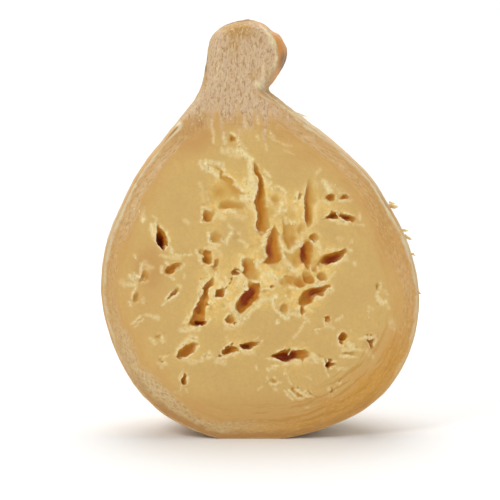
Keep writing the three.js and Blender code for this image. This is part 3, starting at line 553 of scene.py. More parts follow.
    (20.9, 87.2, 22.4, 86, 0.7, 0.8), (25.4, 86.8, 28.4, 88.2, 0.5, 0.6),
    (52.2, 113.4, 51.6, 112.6, 0.7, 0.4), (44.4, 114, 46.8, 113.6, 1, 0.3),
    # the ridge beside the head's rind, the notch and the line under the shoulder
    (1.2, 238.4, 4, 233, 0.8, 1), (4, 233, 7.4, 226.4, 1.1, 1), (7.8, 226, 8.6, 219.6, 0.7, 0.5),
    (8.6, 219, 7.2, 213.6, 1, 0.9), (6.6, 213, 4.8, 208, 0.6, 0.5),
    (-2.6, 203.2, 3, 201.4, 1.7, 0.85), (0.4, 206, 2.6, 203.4, 1.3, 0.7),
    (0.6, 214, 1.6, 208, 0.9, 0.6), (3.4, 198.4, 10.6, 192.2, 0.8, 1),
    (10.6, 192.2, 20, 186.4, 0.8, 0.9), (20, 186.4, 30, 180, 0.7, 0.7),
    # below the neck
    (-27.4, 182, -27, 169.6, 0.8, 0.6), (-20.4, 174.8, -20.2, 169.2, 0.8, 0.7),
    (-16.8, 175.2, -13.2, 172.6, 0.6, 0.8), (-13, 171.2, -12.2, 168.4, 0.7, 0.9),
    (-22.4, 167, -21.2, 165, 0.8, 0.6), (-9, 184, -8.2, 178, 0.9, 0.5),
    (-1.8, 185, -1, 181, 0.9, 0.6), (-2.2, 173, -1, 171, 0.8, 0.5), (6, 176, 8, 172.6, 0.9, 0.6),
    (3, 168.4, 3.6, 165.4, 0.7, 0.5), (-10.6, 169, -8, 166, 1.3, 0.4),
    (-25.5, 228, -26.5, 217, 2.2, 0.3), (-27, 214, -28, 204, 1.2, 0.55),
    (-24, 213, -25, 206, 0.8, 0.55), (-21, 215, -22, 208, 0.7, 0.45),
    (-29, 206, -30, 198, 1.2, 0.45), (4, 173.6, 10, 169.8, 0.6, 0.6),
    (10, 169.8, 18, 167.6, 0.6, 0.6), (14, 165.4, 20, 163, 0.5, 0.4),
)

# Tan, smooth places of the cut face, and painted shade on the head's rind where it turns away at
# the outline: x, z, half width, half height, strength.
TAN_AND_RIND_SHADE = (
    (-12.5, 235, 8, 6, 1), (-15, 227, 4, 8, 0.6), (-6, 232, 5, 3, 0.4), (-39, 174, 13, 10, 1),
    (-27, 178, 9, 5, 0.5), (14, 176, 13, 6, 0.55), (2, 180, 5, 5, 0.4), (20, 160, 10, 6, 0.25),
    (70, 122, 5, 19, 0.5), (64, 135, 6, 6, 0.3), (-4, 208, 3, 2.5, 0.6), (4, 209, 3, 3, 0.5),
    (-63.5, 97, 10, 14, 0.8), (0, 16, 55, 9, 0.45), (-66, 88, 12, 26, 0.3), (14, 213, 3.6, 9, 1),
    (6, 237, 2, 2, 0.6), (-31.4, 214, 0.9, 20, 0.9), (-11, 241.2, 12, 1.2, 0.9),
    (-14, 182, 16, 4.5, 0.6), (-33, 184, 5, 4, 0.8), (8, 182, 8, 4, 0.5),
)

# Round the edge of the cut face, by degrees from +X towards +Z about the belly's
# middle: width of the dry zone, how pink, how golden and how pale and fibrous it is,
# and how strong its brown and its cream outer line are.
EDGE = (
    (-180, 8, 0.25, 0.2, 0.2, 0, 0.7), (-165, 9, 0.25, 0.15, 0.5, 0, 0.6),
    (-150, 11, 0.3, 0, 0.7, 0.2, 0.3), (-140, 12, 0.2, 0, 0.9, 0.6, 0),
    (-130, 11, 0, 0.1, 0.8, 0.9, 0), (-120, 10, 0, 0.2, 0.8, 0.9, 0),
    (-105, 10, 0, 0.5, 0.7, 0.9, 0), (-90, 10, 0, 0.9, 0.3, 0.9, 0),
    (-75, 11, 0, 1, 0.1, 0.8, 0), (-60, 13, 0, 1, 0, 0.6, 0), (-45, 15, 0, 1, 0, 0.3, 0.1),
    (-30, 14, 0, 0.9, 0, 0, 0.4), (-15, 10, 0.3, 0.35, 0, 0, 0.6), (0, 11, 0.5, 0.1, 0, 0, 0.7),
    (15, 12, 0.35, 0.3, 0, 0, 0.9), (30, 12, 0.4, 0.35, 0, 0, 1), (45, 10, 0.6, 0.2, 0, 0, 1),
    (60, 10, 0.7, 0.1, 0, 0, 0.8), (90, 9, 1, 0, 0, 0, 0.8), (115, 9, 1, 0, 0, 0, 1),
    (135, 9, 1, 0, 0, 0, 1), (150, 9, 0.9, 0, 0, 0, 1), (165, 8, 0.5, 0.1, 0, 0, 0.9),
    (180, 8, 0.25, 0.2, 0.2, 0, 0.7),
)
BELLY_HEIGHT = 90.0
BELLY_RADIUS = 91.7

# Where the glossy rind begins on the right of the head: height and x.
HEAD_EDGE = (
    (199, 2), (204, 4.4), (208, 6.6), (213, 8.4), (217, 9.4), (222, 9.2), (226, 8.2), (230, 6.4),
    (234, 4.2), (238, 2), (241, 0),
)
EVEN_WIDTH = 10.0  # the width of the dry zone in the material's own measure

# The crumbs: how many lie on a square metre of torn curd, the size of the largest, and
# the seed of their places and turns.
CRUMB_DENSITY = 130000.0
CRUMB_SIZE = 1.0
CRUMB_SEED = 4

# Thin slivers of curd and rind: x, z and depth behind the knife's plane at the root
# and at the tip, and width.
SLIVERS = (
    # across the big crack
    (15.4, 47.8, 4, 18.2, 52.6, 0.2, 1.1),
    # on the right edge
    (73, 133.6, 13, 79.2, 132.6, 12, 2.4), (73.6, 135.4, 13, 77.4, 134.6, 12, 1.2),
    (80.8, 119.4, 13, 85.2, 118.8, 12, 1.6), (82.6, 116.4, 13, 87.2, 113.6, 12, 1.9),
    (86.4, 106, 13, 89.4, 104.6, 12, 1.1), (90.2, 84, 13, 92.6, 82.8, 12, 1.4),
    # at the shoulder
    (20.6, 187, 12, 27, 184.2, 10, 0.8),
    # in the middle
    (3.2, 119.6, 1.2, 6.2, 121.6, -0.3, 1), (-14.6, 97, 1.6, -10.6, 96.2, 0.2, 0.8),
    (43.4, 130.4, 1, 44.6, 127, 0.2, 0.9), (61.4, 58.6, 1.2, 65, 59.4, 0, 0.7),
)


# ------------------------------------------------------------------- settings


def number_property(name, description, default, unit="LENGTH"):
    """A setting with one number."""
    return bpy.props.FloatProperty(
        name=name, description=description, default=default, unit=unit
    )


class CheeseSizes(bpy.types.PropertyGroup):
    """How finely the half is modelled and how strong its relief is."""

    fineness: number_property(
        "Fineness", "Edge of the small cells that the surface is remade from", 0.5 * MM
    )
    triangles: bpy.props.IntProperty(
        name="Triangles",
        description="About how many triangles the finished half keeps",
        default=190000,
    )
    lip: number_property("Lip", "How far torn curd stands up round the hollows", 0.5 * MM)
    torn: number_property("Torn curd", "Roughness of the torn, pale curd", 0.34 * MM)
    wrinkle: number_property(
        "Wrinkle", "Height of the wrinkles in the dry zone under the rind", 0.22 * MM
    )
    crust: number_property("Dry zone", "Width of the dry zone under the rind", 14 * MM)


def srgb(red, green, blue):
    """A colour named in 0 to 255 as linear red, green, blue and alpha."""
    shares = [channel / 255 for channel in (red, green, blue)]
    linear = [
        share / 12.92 if share <= 0.04045 else ((share + 0.055) / 1.055) ** 2.4
        for share in shares
    ]
    return (*linear, 1.0)


def colour_property(name, description, default):
    """A setting with one colour."""
    return bpy.props.FloatVectorProperty(
        name=name,
        description=description,
        default=default,
        size=4,
        min=0,
        max=1,
        subtype="COLOR",
    )


class CheeseColours(bpy.types.PropertyGroup):
    """The colours of the paste, the dry zone and the rind."""

    paste: colour_property("Paste", "The smooth cut paste", srgb(212, 176, 106))
    heart: colour_property("Heart", "The paste in the middle", srgb(238, 203, 118))
    cream: colour_property("Cream", "Torn curd round the hollows", srgb(238, 220, 166))
    # Lip is also laid on every edge that stands out, as a painted highlight.
    lip: colour_property("Lip", "The crisp edges of torn curd", srgb(242, 226, 182))
    # Gold, amber and deep are painted shade and a painted glow of light scattered in the
    # hollows.
    gold: colour_property("Gold", "Shallow in the hollows", srgb(198, 154, 70))
    amber: colour_property("Amber", "Deeper in the hollows", srgb(197, 131, 36))
    deep: colour_property("Deep", "The deepest hollows", srgb(158, 58, 8))
    dry: colour_property("Dry zone", "The pink dry zone under the rind", srgb(218, 183, 134))
    golden: colour_property("Golden edge", "The smooth golden edge", srgb(209, 155, 66))
    fibrous: colour_property("Fibrous edge", "The pale, fibrous edge", srgb(212, 188, 142))
    brown: colour_property("Brown edge", "The brown outer line", srgb(182, 132, 72))
    neck: colour_property("Neck", "The dry neck and head", srgb(214, 182, 147))
    flake: colour_property("Flake", "Pale flakes in the dry zone", srgb(222, 206, 160))
    orange: colour_property("Orange", "Where dry zone and paste meet", srgb(203, 156, 90))
    rind: colour_property("Rind", "The outer rind", srgb(204, 156, 92))
    glossy: colour_property("Glossy rind", "The smooth rind of the head", srgb(225, 153, 66))
    bloom: colour_property("Bloom", "The pale bloom on the rind", srgb(222, 206, 168))


class StageSizes(bpy.types.PropertyGroup):
    """The camera, the light and the floor."""

    distance: number_property("Distance", "From the camera to the cut face", 1.2)
    camera_height: number_property(
        "Camera height", "Height of the camera above the floor", 0.216
    )
    lens: number_property("Lens", "Focal length", 152.1 * MM, "CAMERA")
    key_power: number_property(
        "Key light", "Power of the soft light from the upper left", 11.0, "POWER"
    )
    fill_power: number_property(
        "Fill light", "Power of the wide light from the right", 2.5, "POWER"
    )
    overhead_power: number_property(
        "Overhead light", "Power of the broad light over the floor and the sweep", 30.0, "POWER"
    )
    sky: number_property("Sky", "Strength of the even white surroundings", 0.5, "NONE")


# ---------------------------------------------------------------------- maths


def spline_at(rows, column, share):
    """A column of the rows at a share of the way along, by a smooth spline."""
    values = np.array([row[column] for row in rows], float)
    last = len(values) - 1
    place = share * last
    start = min(int(place), last - 1)
    t = place - start
    before, here, after, beyond = (
        values[min(max(start + step, 0), last)] for step in (-1, 0, 1, 2)
    )
    slope_here = (after - before) / 2
    slope_after = (beyond - here) / 2
    return (
        (2 * here - 2 * after + slope_here + slope_after) * t**3
        + (3 * after - 3 * here - 2 * slope_here - slope_after) * t**2
        + slope_here * t
        + here
    )


def corner_value(corner, seed):
    """A repeatable number from -1 to 1 for each corner of a lattice."""
    cells = corner.astype(np.int64).astype(np.uint64)
    mixed = cells[:, 0] * np.uint64(374761393) + cells[:, 1] * np.uint64(668265263)
    mixed = mixed + cells[:, 2] * np.uint64(2246822519) + np.uint64(seed * 3266489917)
    mixed = (mixed ^ (mixed >> np.uint64(15))) * np.uint64(2654435761)
    mixed = (mixed ^ (mixed >> np.uint64(13))) & np.uint64(0xFFFFFFFF)
    return mixed.astype(float) / 2**31 - 1


def noise(points, size, seed):
    """Smooth noise from -1 to 1 whose bumps are about size across."""
    scaled = points / size + 1000.0
    corner = np.floor(scaled)
    blend = scaled - corner
    blend = blend * blend * (3 - 2 * blend)
    total = np.zeros(len(points))
    for step in np.ndindex(2, 2, 2):
        offset = np.array(step)
        weight = np.prod(np.where(offset, blend, 1 - blend), axis=1)
        total += weight * corner_value(corner + offset, seed)
    return total


def layered_noise(points, size, seed, layers=3):
    """Noise with finer and weaker noise on it, each layer half of the last."""
    return sum(
        noise(points, size / 2**layer, seed + layer) / 2**layer for layer in range(layers)
    )


def ridges(points, size, seed):
    """Noise with sharp crests, from 0 to 1."""
    return 1 - np.abs(noise(points, size, seed))


def fade(values, start, end):
    """0 before start, 1 after end, smooth between them."""
    share = np.clip((values - start) / (end - start), 0, 1)
    return share * share * (3 - 2 * share)


# --------------------------------------------------------------- mesh helpers


def new_object(name, data):
    """An object for a mesh, a light or a camera."""
    piece = bpy.data.objects.new(name, data)
    bpy.context.scene.collection.objects.link(piece)
    return piece


def mesh_from(name, points, faces):
    """A mesh from points in millimetres."""
    mesh = bpy.data.meshes.new(name)
    mesh.from_pydata((np.asarray(points) * MM).tolist(), [], faces)
    mesh.update()
    return mesh


def quads_mesh(name, points, faces):
    """A mesh of many four-sided faces, from points in millimetres."""
    mesh = bpy.data.meshes.new(name)
    mesh.vertices.add(len(points))
    mesh.vertices.foreach_set("co", (points * MM).ravel())
    mesh.loops.add(faces.size)
    mesh.loops.foreach_set("vertex_index", faces.astype(np.int32).ravel())
    mesh.polygons.add(len(faces))
    mesh.polygons.foreach_set("loop_start", 4 * np.arange(len(faces), dtype=np.int32))
    mesh.update(calc_edges=True)
    return mesh


def points_of(mesh):
    """The mesh's points in millimetres."""
    flat = np.empty(len(mesh.vertices) * 3)
    mesh.vertices.foreach_get("co", flat)
    return flat.reshape(-1, 3) / MM


def put_points(mesh, points):
    """Moves the mesh's points, given in millimetres."""
    mesh.vertices.foreach_set("co", (points * MM).ravel())
    mesh.update()


def normals_of(mesh):
    """The way out of the surface at each point."""
    flat = np.empty(len(mesh.vertices) * 3, np.float32)
    mesh.vertex_normals.foreach_get("vector", flat)
    return flat.reshape(-1, 3).astype(float)


def bake_modifiers(piece):
    """Turns the piece with its modifiers into a plain mesh."""
    depsgraph = bpy.context.evaluated_depsgraph_get()
    finished = bpy.data.meshes.new_from_object(piece.evaluated_get(depsgraph))
    piece.modifiers.clear()
    old = piece.data
    piece.data = finished
    bpy.data.meshes.remove(old)


def smooth(mesh):
    """Shades every face softly."""
    for polygon in mesh.polygons:
        polygon.use_smooth = True


def remove(piece):
    """Deletes the piece with its mesh."""
    mesh = piece.data
    bpy.data.objects.remove(piece)
    bpy.data.meshes.remove(mesh)


def store(mesh, name, values):
    """Keeps one number, or one vector, for each point of the mesh."""
    values = np.asarray(values, np.float32)
    is_vector = values.ndim == 2
    kind = "FLOAT_VECTOR" if is_vector else "FLOAT"
    attribute = mesh.attributes.new(name, kind, "POINT")
    attribute.data.foreach_set("vector" if is_vector else "value", values.ravel())


# ------------------------------------------------------------------- the half


def body_section(share):
    """Height, middle, half width and depth at a share of the way up the outline."""
    height = spline_at(OUTLINE, 0, share)
    left = spline_at(OUTLINE, 1, share)
    right = spline_at(OUTLINE, 2, share)
    return height, (left + right) / 2, (right - left) / 2, spline_at(OUTLINE, 3, share)


def rind_wave(angle, share):
    """How far the hand-shaped rind swells or sinks, as a share of the radius."""
    total = sum(
        size * math.sin(around * angle + up * 2 * math.pi * share + phase)
        for size, around, up, phase in RIND_WAVES
    )
    return 1 + total * max(0.0, math.sin(angle))


def body_mesh(name):
    """The whole, uncut cheese as rings closed at the foot and the crown."""
    points = []
    faces = []
    for ring in range(RINGS + 1):
        share = ring / RINGS
        height, middle, half_width, depth = body_section(share)
        for side in range(SIDES):
            angle = 2 * math.pi * side / SIDES
            wave = rind_wave(angle, share)
            x = middle + half_width * wave * math.cos(angle)
            y = AXIS_Y + depth * wave * math.sin(angle)
            points.append((x, y, height))
    for ring in range(RINGS):
        for side in range(SIDES):
            here = ring * SIDES + side
            beside = ring * SIDES + (side + 1) % SIDES
            faces.append((here, beside, beside + SIDES, here + SIDES))
    faces.append(tuple(reversed(range(SIDES))))
    faces.append(tuple(RINGS * SIDES + side for side in range(SIDES)))
    return mesh_from(name, points, faces)


# --------------------------------------------------------------- the cut face


class Face:
    """A fine grid over the cut face, in millimetres, and the fields drawn on it."""

    step = 0.4
    left, right = -100.0, 100.0
    bottom, top = -6.0, 246.0

    def __init__(self):
        self.columns = int((self.right - self.left) / self.step) + 1
        self.rows = int((self.top - self.bottom) / self.step) + 1
        xs = self.left + self.step * np.arange(self.columns)
        zs = self.bottom + self.step * np.arange(self.rows)
        self.x, self.z = np.meshgrid(xs, zs)
        flat = np.column_stack((self.x.ravel(), np.zeros(self.x.size), self.z.ravel()))
        shift_x = 0.6 * noise(flat, 6.5, 61) + 0.55 * layered_noise(flat, 2.4, 62)
        shift_z = 0.6 * noise(flat, 6.5, 64) + 0.55 * layered_noise(flat, 2.4, 66)
        lift = LIFT - LIFT_FALL * (self.z - LIFT_HEIGHT) ** 2
        self.uneven_x = self.x + shift_x.reshape(self.x.shape)
        self.uneven_z = self.z + shift_z.reshape(self.x.shape) - lift

    def around(self, x, z, reach):
        """The window of the grid within reach of a place."""
        reach += 3.0
        low_row = max(int((z - reach - self.bottom) / self.step), 0)
        low_column = max(int((x - reach - self.left) / self.step), 0)
        high_row = int((z + reach - self.bottom) / self.step) + 2
        high_column = int((x + reach - self.left) / self.step) + 2
        return slice(low_row, high_row), slice(low_column, high_column)

    def away(self, x, z, reach):
        """The window round a place, and how far its points lie from there."""
        window = self.around(x, z, reach)
        return window, self.uneven_x[window] - x, self.uneven_z[window] - z

    def sample(self, field, points):
        """The field at each point, blended between the grid's lines."""
        column = np.clip((points[:, 0] - self.left) / self.step, 0, self.columns - 1.01)
        row = np.clip((points[:, 2] - self.bottom) / self.step, 0, self.rows - 1.01)
        i, j = row.astype(int), column.astype(int)
        up, along = row - i, column - j
        lower = field[i, j] * (1 - along) + field[i, j + 1] * along
        upper = field[i + 1, j] * (1 - along) + field[i + 1, j + 1] * along
        return lower * (1 - up) + upper * up


def hollow_profile(share, reach, depth, away_x, away_z):
    """Steep walls on the left and below, soft ramps to the upper right.

    Shallow hollows are soft all round, and so is every long reach.
    """
    towards_ramp = (away_x + 0.6 * away_z) / (np.hypot(away_x, away_z) + 0.1)
    softness = fade(towards_ramp, 0.0, 0.9) * fade(reach, 2.2, 4.8)
    softness = np.maximum(softness, fade(reach, 5.0, 8.0))
    softness = np.maximum(softness, 1 - fade(depth, 3.0, 5.0))
    ramp = share**1.25
    wall = 1 - (1 - share) ** 2.6
    return depth * (wall + (ramp - wall) * softness)


def trough_depth(face, stations):
    """A long hollow along its stations, the deepest of its stretches at each point."""
    rows = [[spline_at(stations, column, share) for column in range(5)]
            for share in np.linspace(0, 1, 3 * len(stations))]
    x, z, left, right, depth = np.array(rows).T
    widest = max(left.max(), right.max())
    middle = ((x.min() + x.max()) / 2, (z.min() + z.max()) / 2)
    half_length = max(np.ptp(x), np.ptp(z)) / 2
    window, away_x, away_z = face.away(*middle, half_length + widest)
    total = np.zeros(away_x.shape)
    for i in range(len(rows) - 1):
        run_x, run_z = x[i + 1] - x[i], z[i + 1] - z[i]
        from_x, from_z = away_x + middle[0] - x[i], away_z + middle[1] - z[i]
        past = np.clip((from_x * run_x + from_z * run_z) / (run_x**2 + run_z**2), 0, 1)
        off_x, off_z = from_x - past * run_x, from_z - past * run_z
        on_left = run_x * from_z - run_z * from_x > 0
        left_reach = left[i] + past * (left[i + 1] - left[i])
        right_reach = right[i] + past * (right[i + 1] - right[i])
        reach = np.maximum(np.where(on_left, left_reach, right_reach), 0.4)
        share = np.clip(1 - np.hypot(off_x, off_z) / reach, 0, 1)
        here = depth[i] + past * (depth[i + 1] - depth[i])
        total = np.maximum(total, hollow_profile(share, reach, here, off_x, off_z))
    return window, total


def hollow_depth(face, row):
    """A rounder hollow, from its deepest spot out to its reach each way."""
    x, z, depth, reaches = row
    window, away_x, away_z = face.away(x, z, max(reaches))
    eighths = (np.arctan2(away_z, away_x) * 4 / math.pi) % 8
    closeness = 1 / np.array(reaches + reaches[:1])
    reach = 1 / np.interp(eighths, np.arange(9), closeness)
    share = np.clip(1 - np.hypot(away_x, away_z) / reach, 0, 1)
    return window, hollow_profile(share, reach, depth, away_x, away_z)


def crack_depth(face, row):
    """A slit or pit with pointed ends."""
    x, z, length, width, depth, tilt = row
    widen, least_width, deepen = 1.12, 1.3, 1.25
    width = max(widen * width, least_width)
    window, away_x, away_z = face.away(x, z, (length + width) / 2)
    turn = math.radians(tilt)
    along = (away_x * math.cos(turn) + away_z * math.sin(turn)) / (length / 2)
    across = (away_z * math.cos(turn) - away_x * math.sin(turn)) / (width / 2)
    slim = np.clip(1 - along**2, 0.001, 1) ** 0.35
    away = np.sqrt(along**2 + (across / slim) ** 2)
    return window, deepen * depth * np.clip(1 - away**1.8, 0, 1)


def soft_folds(face, depths):
    """Slow, shallow folds where many hollows lie close together."""
    crowded = fade(blurred(np.clip(depths / 3, 0, 1), 14), 0.16, 0.45)
    crowded = crowded * fade(face.x, -12, -4) * (1 - fade(face.z, 118, 130))
    x, z = face.uneven_x.ravel(), face.uneven_z.ravel()
    turned = np.column_stack((x + 0.5 * z, np.zeros(len(x)), 0.7 * z - 0.4 * x))
    folds = np.clip(layered_noise(turned, 8.0, 121, 2) + 0.1, 0, 1)
    return FOLD_DEPTH * crowded * folds.reshape(face.x.shape)


def depth_field(face):
    """How deep the torn curd looks, in the tables' own measure."""
    blend = 3.0
    total = np.zeros(face.x.shape)
    kinds = ((trough_depth, TROUGHS), (hollow_depth, HOLLOWS), (crack_depth, CRACKS))
    for depth_of, rows in kinds:
        for row in rows:
            window, depth = depth_of(face, row)
            total[window] += depth**blend
    total = total ** (1 / blend)
    return total + soft_folds(face, total) * (1 - fade(total, 1.0, 4.0))


def real_depth(depths):
    """How deep the curd lies behind the knife's plane.

    Deep holes and slim ones look deeper than they are.
    """
    eased = SHALLOWED * (1 - np.exp(-depths / SHALLOWED))
    return np.minimum(eased, 0.35 * eased + 0.9 * blurred(eased, 3))


def shifted(field, reach, axis):
    """The field moved by each number of grid lines up to reach, both ways."""
    return [np.roll(field, step, axis) for step in range(-reach, reach + 1)]


def widened(field, reach):
    """The highest value within reach of each point of the grid."""
    for axis in (0, 1):
        field = np.max(shifted(field, reach, axis), axis=0)
    return field


def torn_field(face):
    """Where the curd is torn and pale, from 0 to 1."""
    total = np.zeros(face.x.shape)
    for x_0, z_0, x_1, z_1, width, strength in TORN:
        run_x, run_z = x_1 - x_0, z_1 - z_0
        length = math.hypot(run_x, run_z) + 1e-6
        middle = ((x_0 + x_1) / 2, (z_0 + z_1) / 2)
        window, away_x, away_z = face.away(*middle, length / 2 + 2 * width)
        along = (away_x * run_x + away_z * run_z) / length
        across = (away_z * run_x - away_x * run_z) / length
        past = np.maximum(np.abs(along) - length / 2, 0)
        distance = np.hypot(past, across)
        mask = strength * (1 - fade(distance, 0.35 * width, 1.5 * width))
        total[window] = np.maximum(total[window], mask)
    return total


def tan_and_rind_shade_field(face):
    """Where the smooth curd is tan, and where the head's rind takes painted shade, from 0 to 1.
    """
    total = np.zeros(face.x.shape)
    for x, z, half_width, half_height, strength in TAN_AND_RIND_SHADE:
        window, away_x, away_z = face.away(x, z, 1.6 * max(half_width, half_height))
        away = np.hypot(away_x / half_width, away_z / half_height)
        total[window] = np.maximum(total[window], strength * (1 - fade(away, 0.4, 1.5)))
    return total


def blurred(field, reach):
    """The field averaged three times over squares."""
    for axis in (0, 1, 0, 1, 0, 1):
        field = np.mean(shifted(field, reach, axis), axis=0)
    return field


def cutting_block(face, depths):
    """All that the knife and the tearing take away, as one closed block."""
    well_in_front = 120.0
    front = CUT_Y - well_in_front
    x = face.x - UNDERCUT_LEFT * depths
    z = face.z - UNDERCUT_DOWN * depths
    back_side = np.column_stack((x.ravel(), CUT_Y + depths.ravel(), z.ravel()))
    front_side = np.column_stack(
        (face.x.ravel(), np.full(face.x.size, front), face.z.ravel())
    )
    index = np.arange(face.x.size).reshape(face.x.shape)
    here, right = index[:-1, :-1].ravel(), index[:-1, 1:].ravel()
    over, across = index[1:, :-1].ravel(), index[1:, 1:].ravel()
    behind = np.column_stack((here, over, across, right))
    rim = np.concatenate((index[0, :], index[1:, -1], index[-1, -2::-1], index[-2:0:-1, 0]))
    next_rim = np.roll(rim, -1)
    offset = face.x.size
    sides = np.column_stack((rim, next_rim, next_rim + offset, rim + offset))
    before = behind[:, ::-1] + offset
    faces = np.concatenate((behind, sides, before))
    mesh = quads_mesh("cutting_block", np.concatenate((back_side, front_side)), faces)
    return new_object("cutting_block", mesh)


def carve(piece, tool):
    """Takes the tool out of the piece."""
    modifier = piece.modifiers.new("carve", "BOOLEAN")
    modifier.operation = "DIFFERENCE"
    modifier.object = tool
    modifier.solver = "MANIFOLD"
    bake_modifiers(piece)
    remove(tool)


def remake_surface(piece, cell):
    """Even small cells all over, so that every edge is softly worn."""
    modifier = piece.modifiers.new("even_cells", "REMESH")
    modifier.mode = "VOXEL"
    modifier.voxel_size = cell
    modifier.use_smooth_shade = True
    bake_modifiers(piece)


def thin_out(piece, triangles, keep):
    """Fewer triangles, most of them taken where keep is low."""
    levels = 10
    group = piece.vertex_groups.new(name="thin")
    for level in range(levels + 1):
        chosen = np.flatnonzero(np.rint(keep * levels) == level)
        if len(chosen):
            group.add(chosen.tolist(), 1 - level / levels, "REPLACE")
    piece.data.calc_loop_triangles()
    modifier = piece.modifiers.new("thin_out", "DECIMATE")
    modifier.ratio = triangles / len(piece.data.loop_triangles)
    modifier.vertex_group = "thin"
    modifier.use_collapse_triangulate = True
    bake_modifiers(piece)
    piece.vertex_groups.clear()


def tree_of(points):
    """A search tree over the points."""
    tree = KDTree(len(points))
    for index, point in enumerate(points):
        tree.insert(point, index)
    tree.balance()
    return tree


def distance_under_rind(points, whole):
    """How far each point lies under the uncut cheese's surface."""
    tree = BVHTree.FromPolygons(
        [vertex.co for vertex in whole.vertices],
        [tuple(face.vertices) for face in whole.polygons],
    )
    nearest = tree.find_nearest
    return np.array([nearest(Vector(point))[3] for point in points * MM]) / MM


def distance_to_hollows(points, on_face, in_hollow):
    """For each point of the cut face, how far the nearest hollow is."""
    far = 50.0
    tree = tree_of(points[in_hollow][::3] * (1, 0, 1))
    distances = np.full(len(points), far)
    for index in np.flatnonzero(on_face):
        x, _, z = points[index]
        distances[index] = tree.find((x, 0, z))[2]
    distances[in_hollow] = 0
    return distances


def flow_along(points):
    """A coordinate that runs with the outline: up the sides, round the belly."""
    x, z = points[:, 0], points[:, 2] - BELLY_HEIGHT
    round_belly = BELLY_RADIUS * np.arctan2(z, np.abs(x) + 1e-6)
    return np.where(z > 0, z, round_belly)


def flow_points(points, under):
    """Points stretched so that noise on them streaks along the outline."""
    wander = 0.9 * noise(points, 5.0, 71) + 0.4 * noise(points, 2.2, 72)
    return np.column_stack((under + wander, flow_along(points) / 3, np.zeros(len(under))))


def evened(mesh, points, rounds, strength=0.5):
    """The points after each is drawn towards the middle of its neighbours."""
    flat = np.empty(len(mesh.edges) * 2, np.int32)
    mesh.edges.foreach_get("vertices", flat)
    first, second = flat.reshape(-1, 2).T
    count = len(points)
    ends = np.bincount(first, minlength=count) + np.bincount(second, minlength=count)
    points = points.copy()
    for _ in range(rounds):
        pull = np.empty_like(points)
        for axis in range(3):
            column = points[:, axis]
            pull[:, axis] = np.bincount(first, column[second], count)
            pull[:, axis] += np.bincount(second, column[first], count)
        points += strength * (pull / ends[:, None] - points)
    return points


# What the material reads: one number, or one vector, for each point.
NUMBERS_KEPT = (
    "crust_depth", "edge_depth", "tanned", "opened", "hollow_depth", "rim_distance", "torn",
    "standing_out", "ragged", "glossy",
)
VECTORS_KEPT = ("edge_tones", "edge_lines", "flow")


def cut_open(points, behind):
    """Where dry curd shows past the cut edge, on the neck and the head, from 0 to 1."""
    x, z = points[:, 0], points[:, 2]
    left_of_neck = fade(z, 176, 196) * (1 - fade(x, -24, -16))
    crown = fade(z, 224, 231) * (1 - fade(x, 1, 5))
    edge_z, edge_x = np.array(HEAD_EDGE, float).T
    past_edge = x - np.interp(z, edge_z, edge_x) + 0.5 * noise(points, 3.0, 95)
    head = fade(z, 199, 203) * (1 - fade(past_edge, -0.6, 0.6)) * (z < 237)
    open_share = np.maximum(np.maximum(left_of_neck, crown), head)
    return open_share * (1 - fade(behind, 5, 10))


def surface_facts(mesh, whole, face, depths, torn):
    """What the relief and the colours depend on, for each point."""
    points = points_of(mesh)
    normals = normals_of(mesh)
    behind = points[:, 1] - CUT_Y
    under = distance_under_rind(points, whole)
    on_rind = under < RIND_SKIN
    on_face = (behind < FACE_SKIN) & ~on_rind
    in_hollow = ~on_rind & (behind > FACE_SKIN)
    # The fields lie on the knife's plane, and the hollows lean away from it.
    unslanted = points + np.outer(behind, (UNDERCUT_LEFT, 0, UNDERCUT_DOWN))
    shoulder = fade(points[:, 2], 176, 182) * fade(points[:, 0], -6, -2) * (behind < 16)
    torn_here = np.where(on_rind, shoulder, 1) * face.sample(torn, unslanted)
    standing_out = ((points - evened(mesh, points, 10)) * normals).sum(axis=1)
    x, z = points[:, 0], points[:, 2]
    well_inside = 7.0
    crust_depth = np.maximum(under, well_inside * cut_open(points, behind))
    # The width, tones and lines of the dry zone change round the edge.
    degrees = np.degrees(np.arctan2(z - BELLY_HEIGHT, x)) + 4 * noise(points, 14.0, 91)
    at, width, pink, golden, fibrous, brown, cream = np.array(EDGE, float).T
    edges = [np.interp(degrees, at, column) for column in (pink, golden, fibrous)]
    lines = [np.interp(degrees, at, column) for column in (brown, cream, 0 * cream)]
    # A hollow's walls take the colour of its depth, a little past its rim: this carries the
    # painted shade and painted glow of the hollows.
    shown = face.sample(widened(depths, 1), unslanted)
    nearby = face.sample(widened(depths, 3), unslanted)
    looks_deep = np.maximum(shown, 0.6 * nearby) * fade(behind, 0.2, 1.2)
    opened = blurred(widened(np.clip(depths / 3, 0, 1), 2) + 0.6 * torn, 14)
    tanned_front = np.where(z > 200, 1 - fade(behind, 14, 22), behind < 3)
    glossy = fade(z, 200, 210) * fade(x, -6, 4) * (1 - fade(z, 231, 236) * (behind < 4))
    return {
        "under_rind": under,
        "crust_depth": crust_depth,
        "edge_depth": crust_depth * EVEN_WIDTH / np.interp(degrees, at, width),
        "edge_tones": np.column_stack(edges),
        "edge_lines": np.column_stack(lines),
        "tanned": face.sample(tan_and_rind_shade_field(face), points) * tanned_front,
        "opened": fade(face.sample(opened, points), 0.17, 0.68),
        "glossy": glossy,
        "behind": behind,
        "on_rind": on_rind,
        "in_hollow": in_hollow,
        "rim_distance": distance_to_hollows(points, on_face, in_hollow),
        "torn": torn_here,
        "hollow_depth": np.where(on_rind, 0, np.maximum(looks_deep, behind)),
        "standing_out": np.where(on_rind, 0, standing_out),
        "ragged": fade(layered_noise(points, 7.0, 81) + 0.9 * torn_here, 0.0, 0.6),
        "flow": flow_points(points, under),
    }


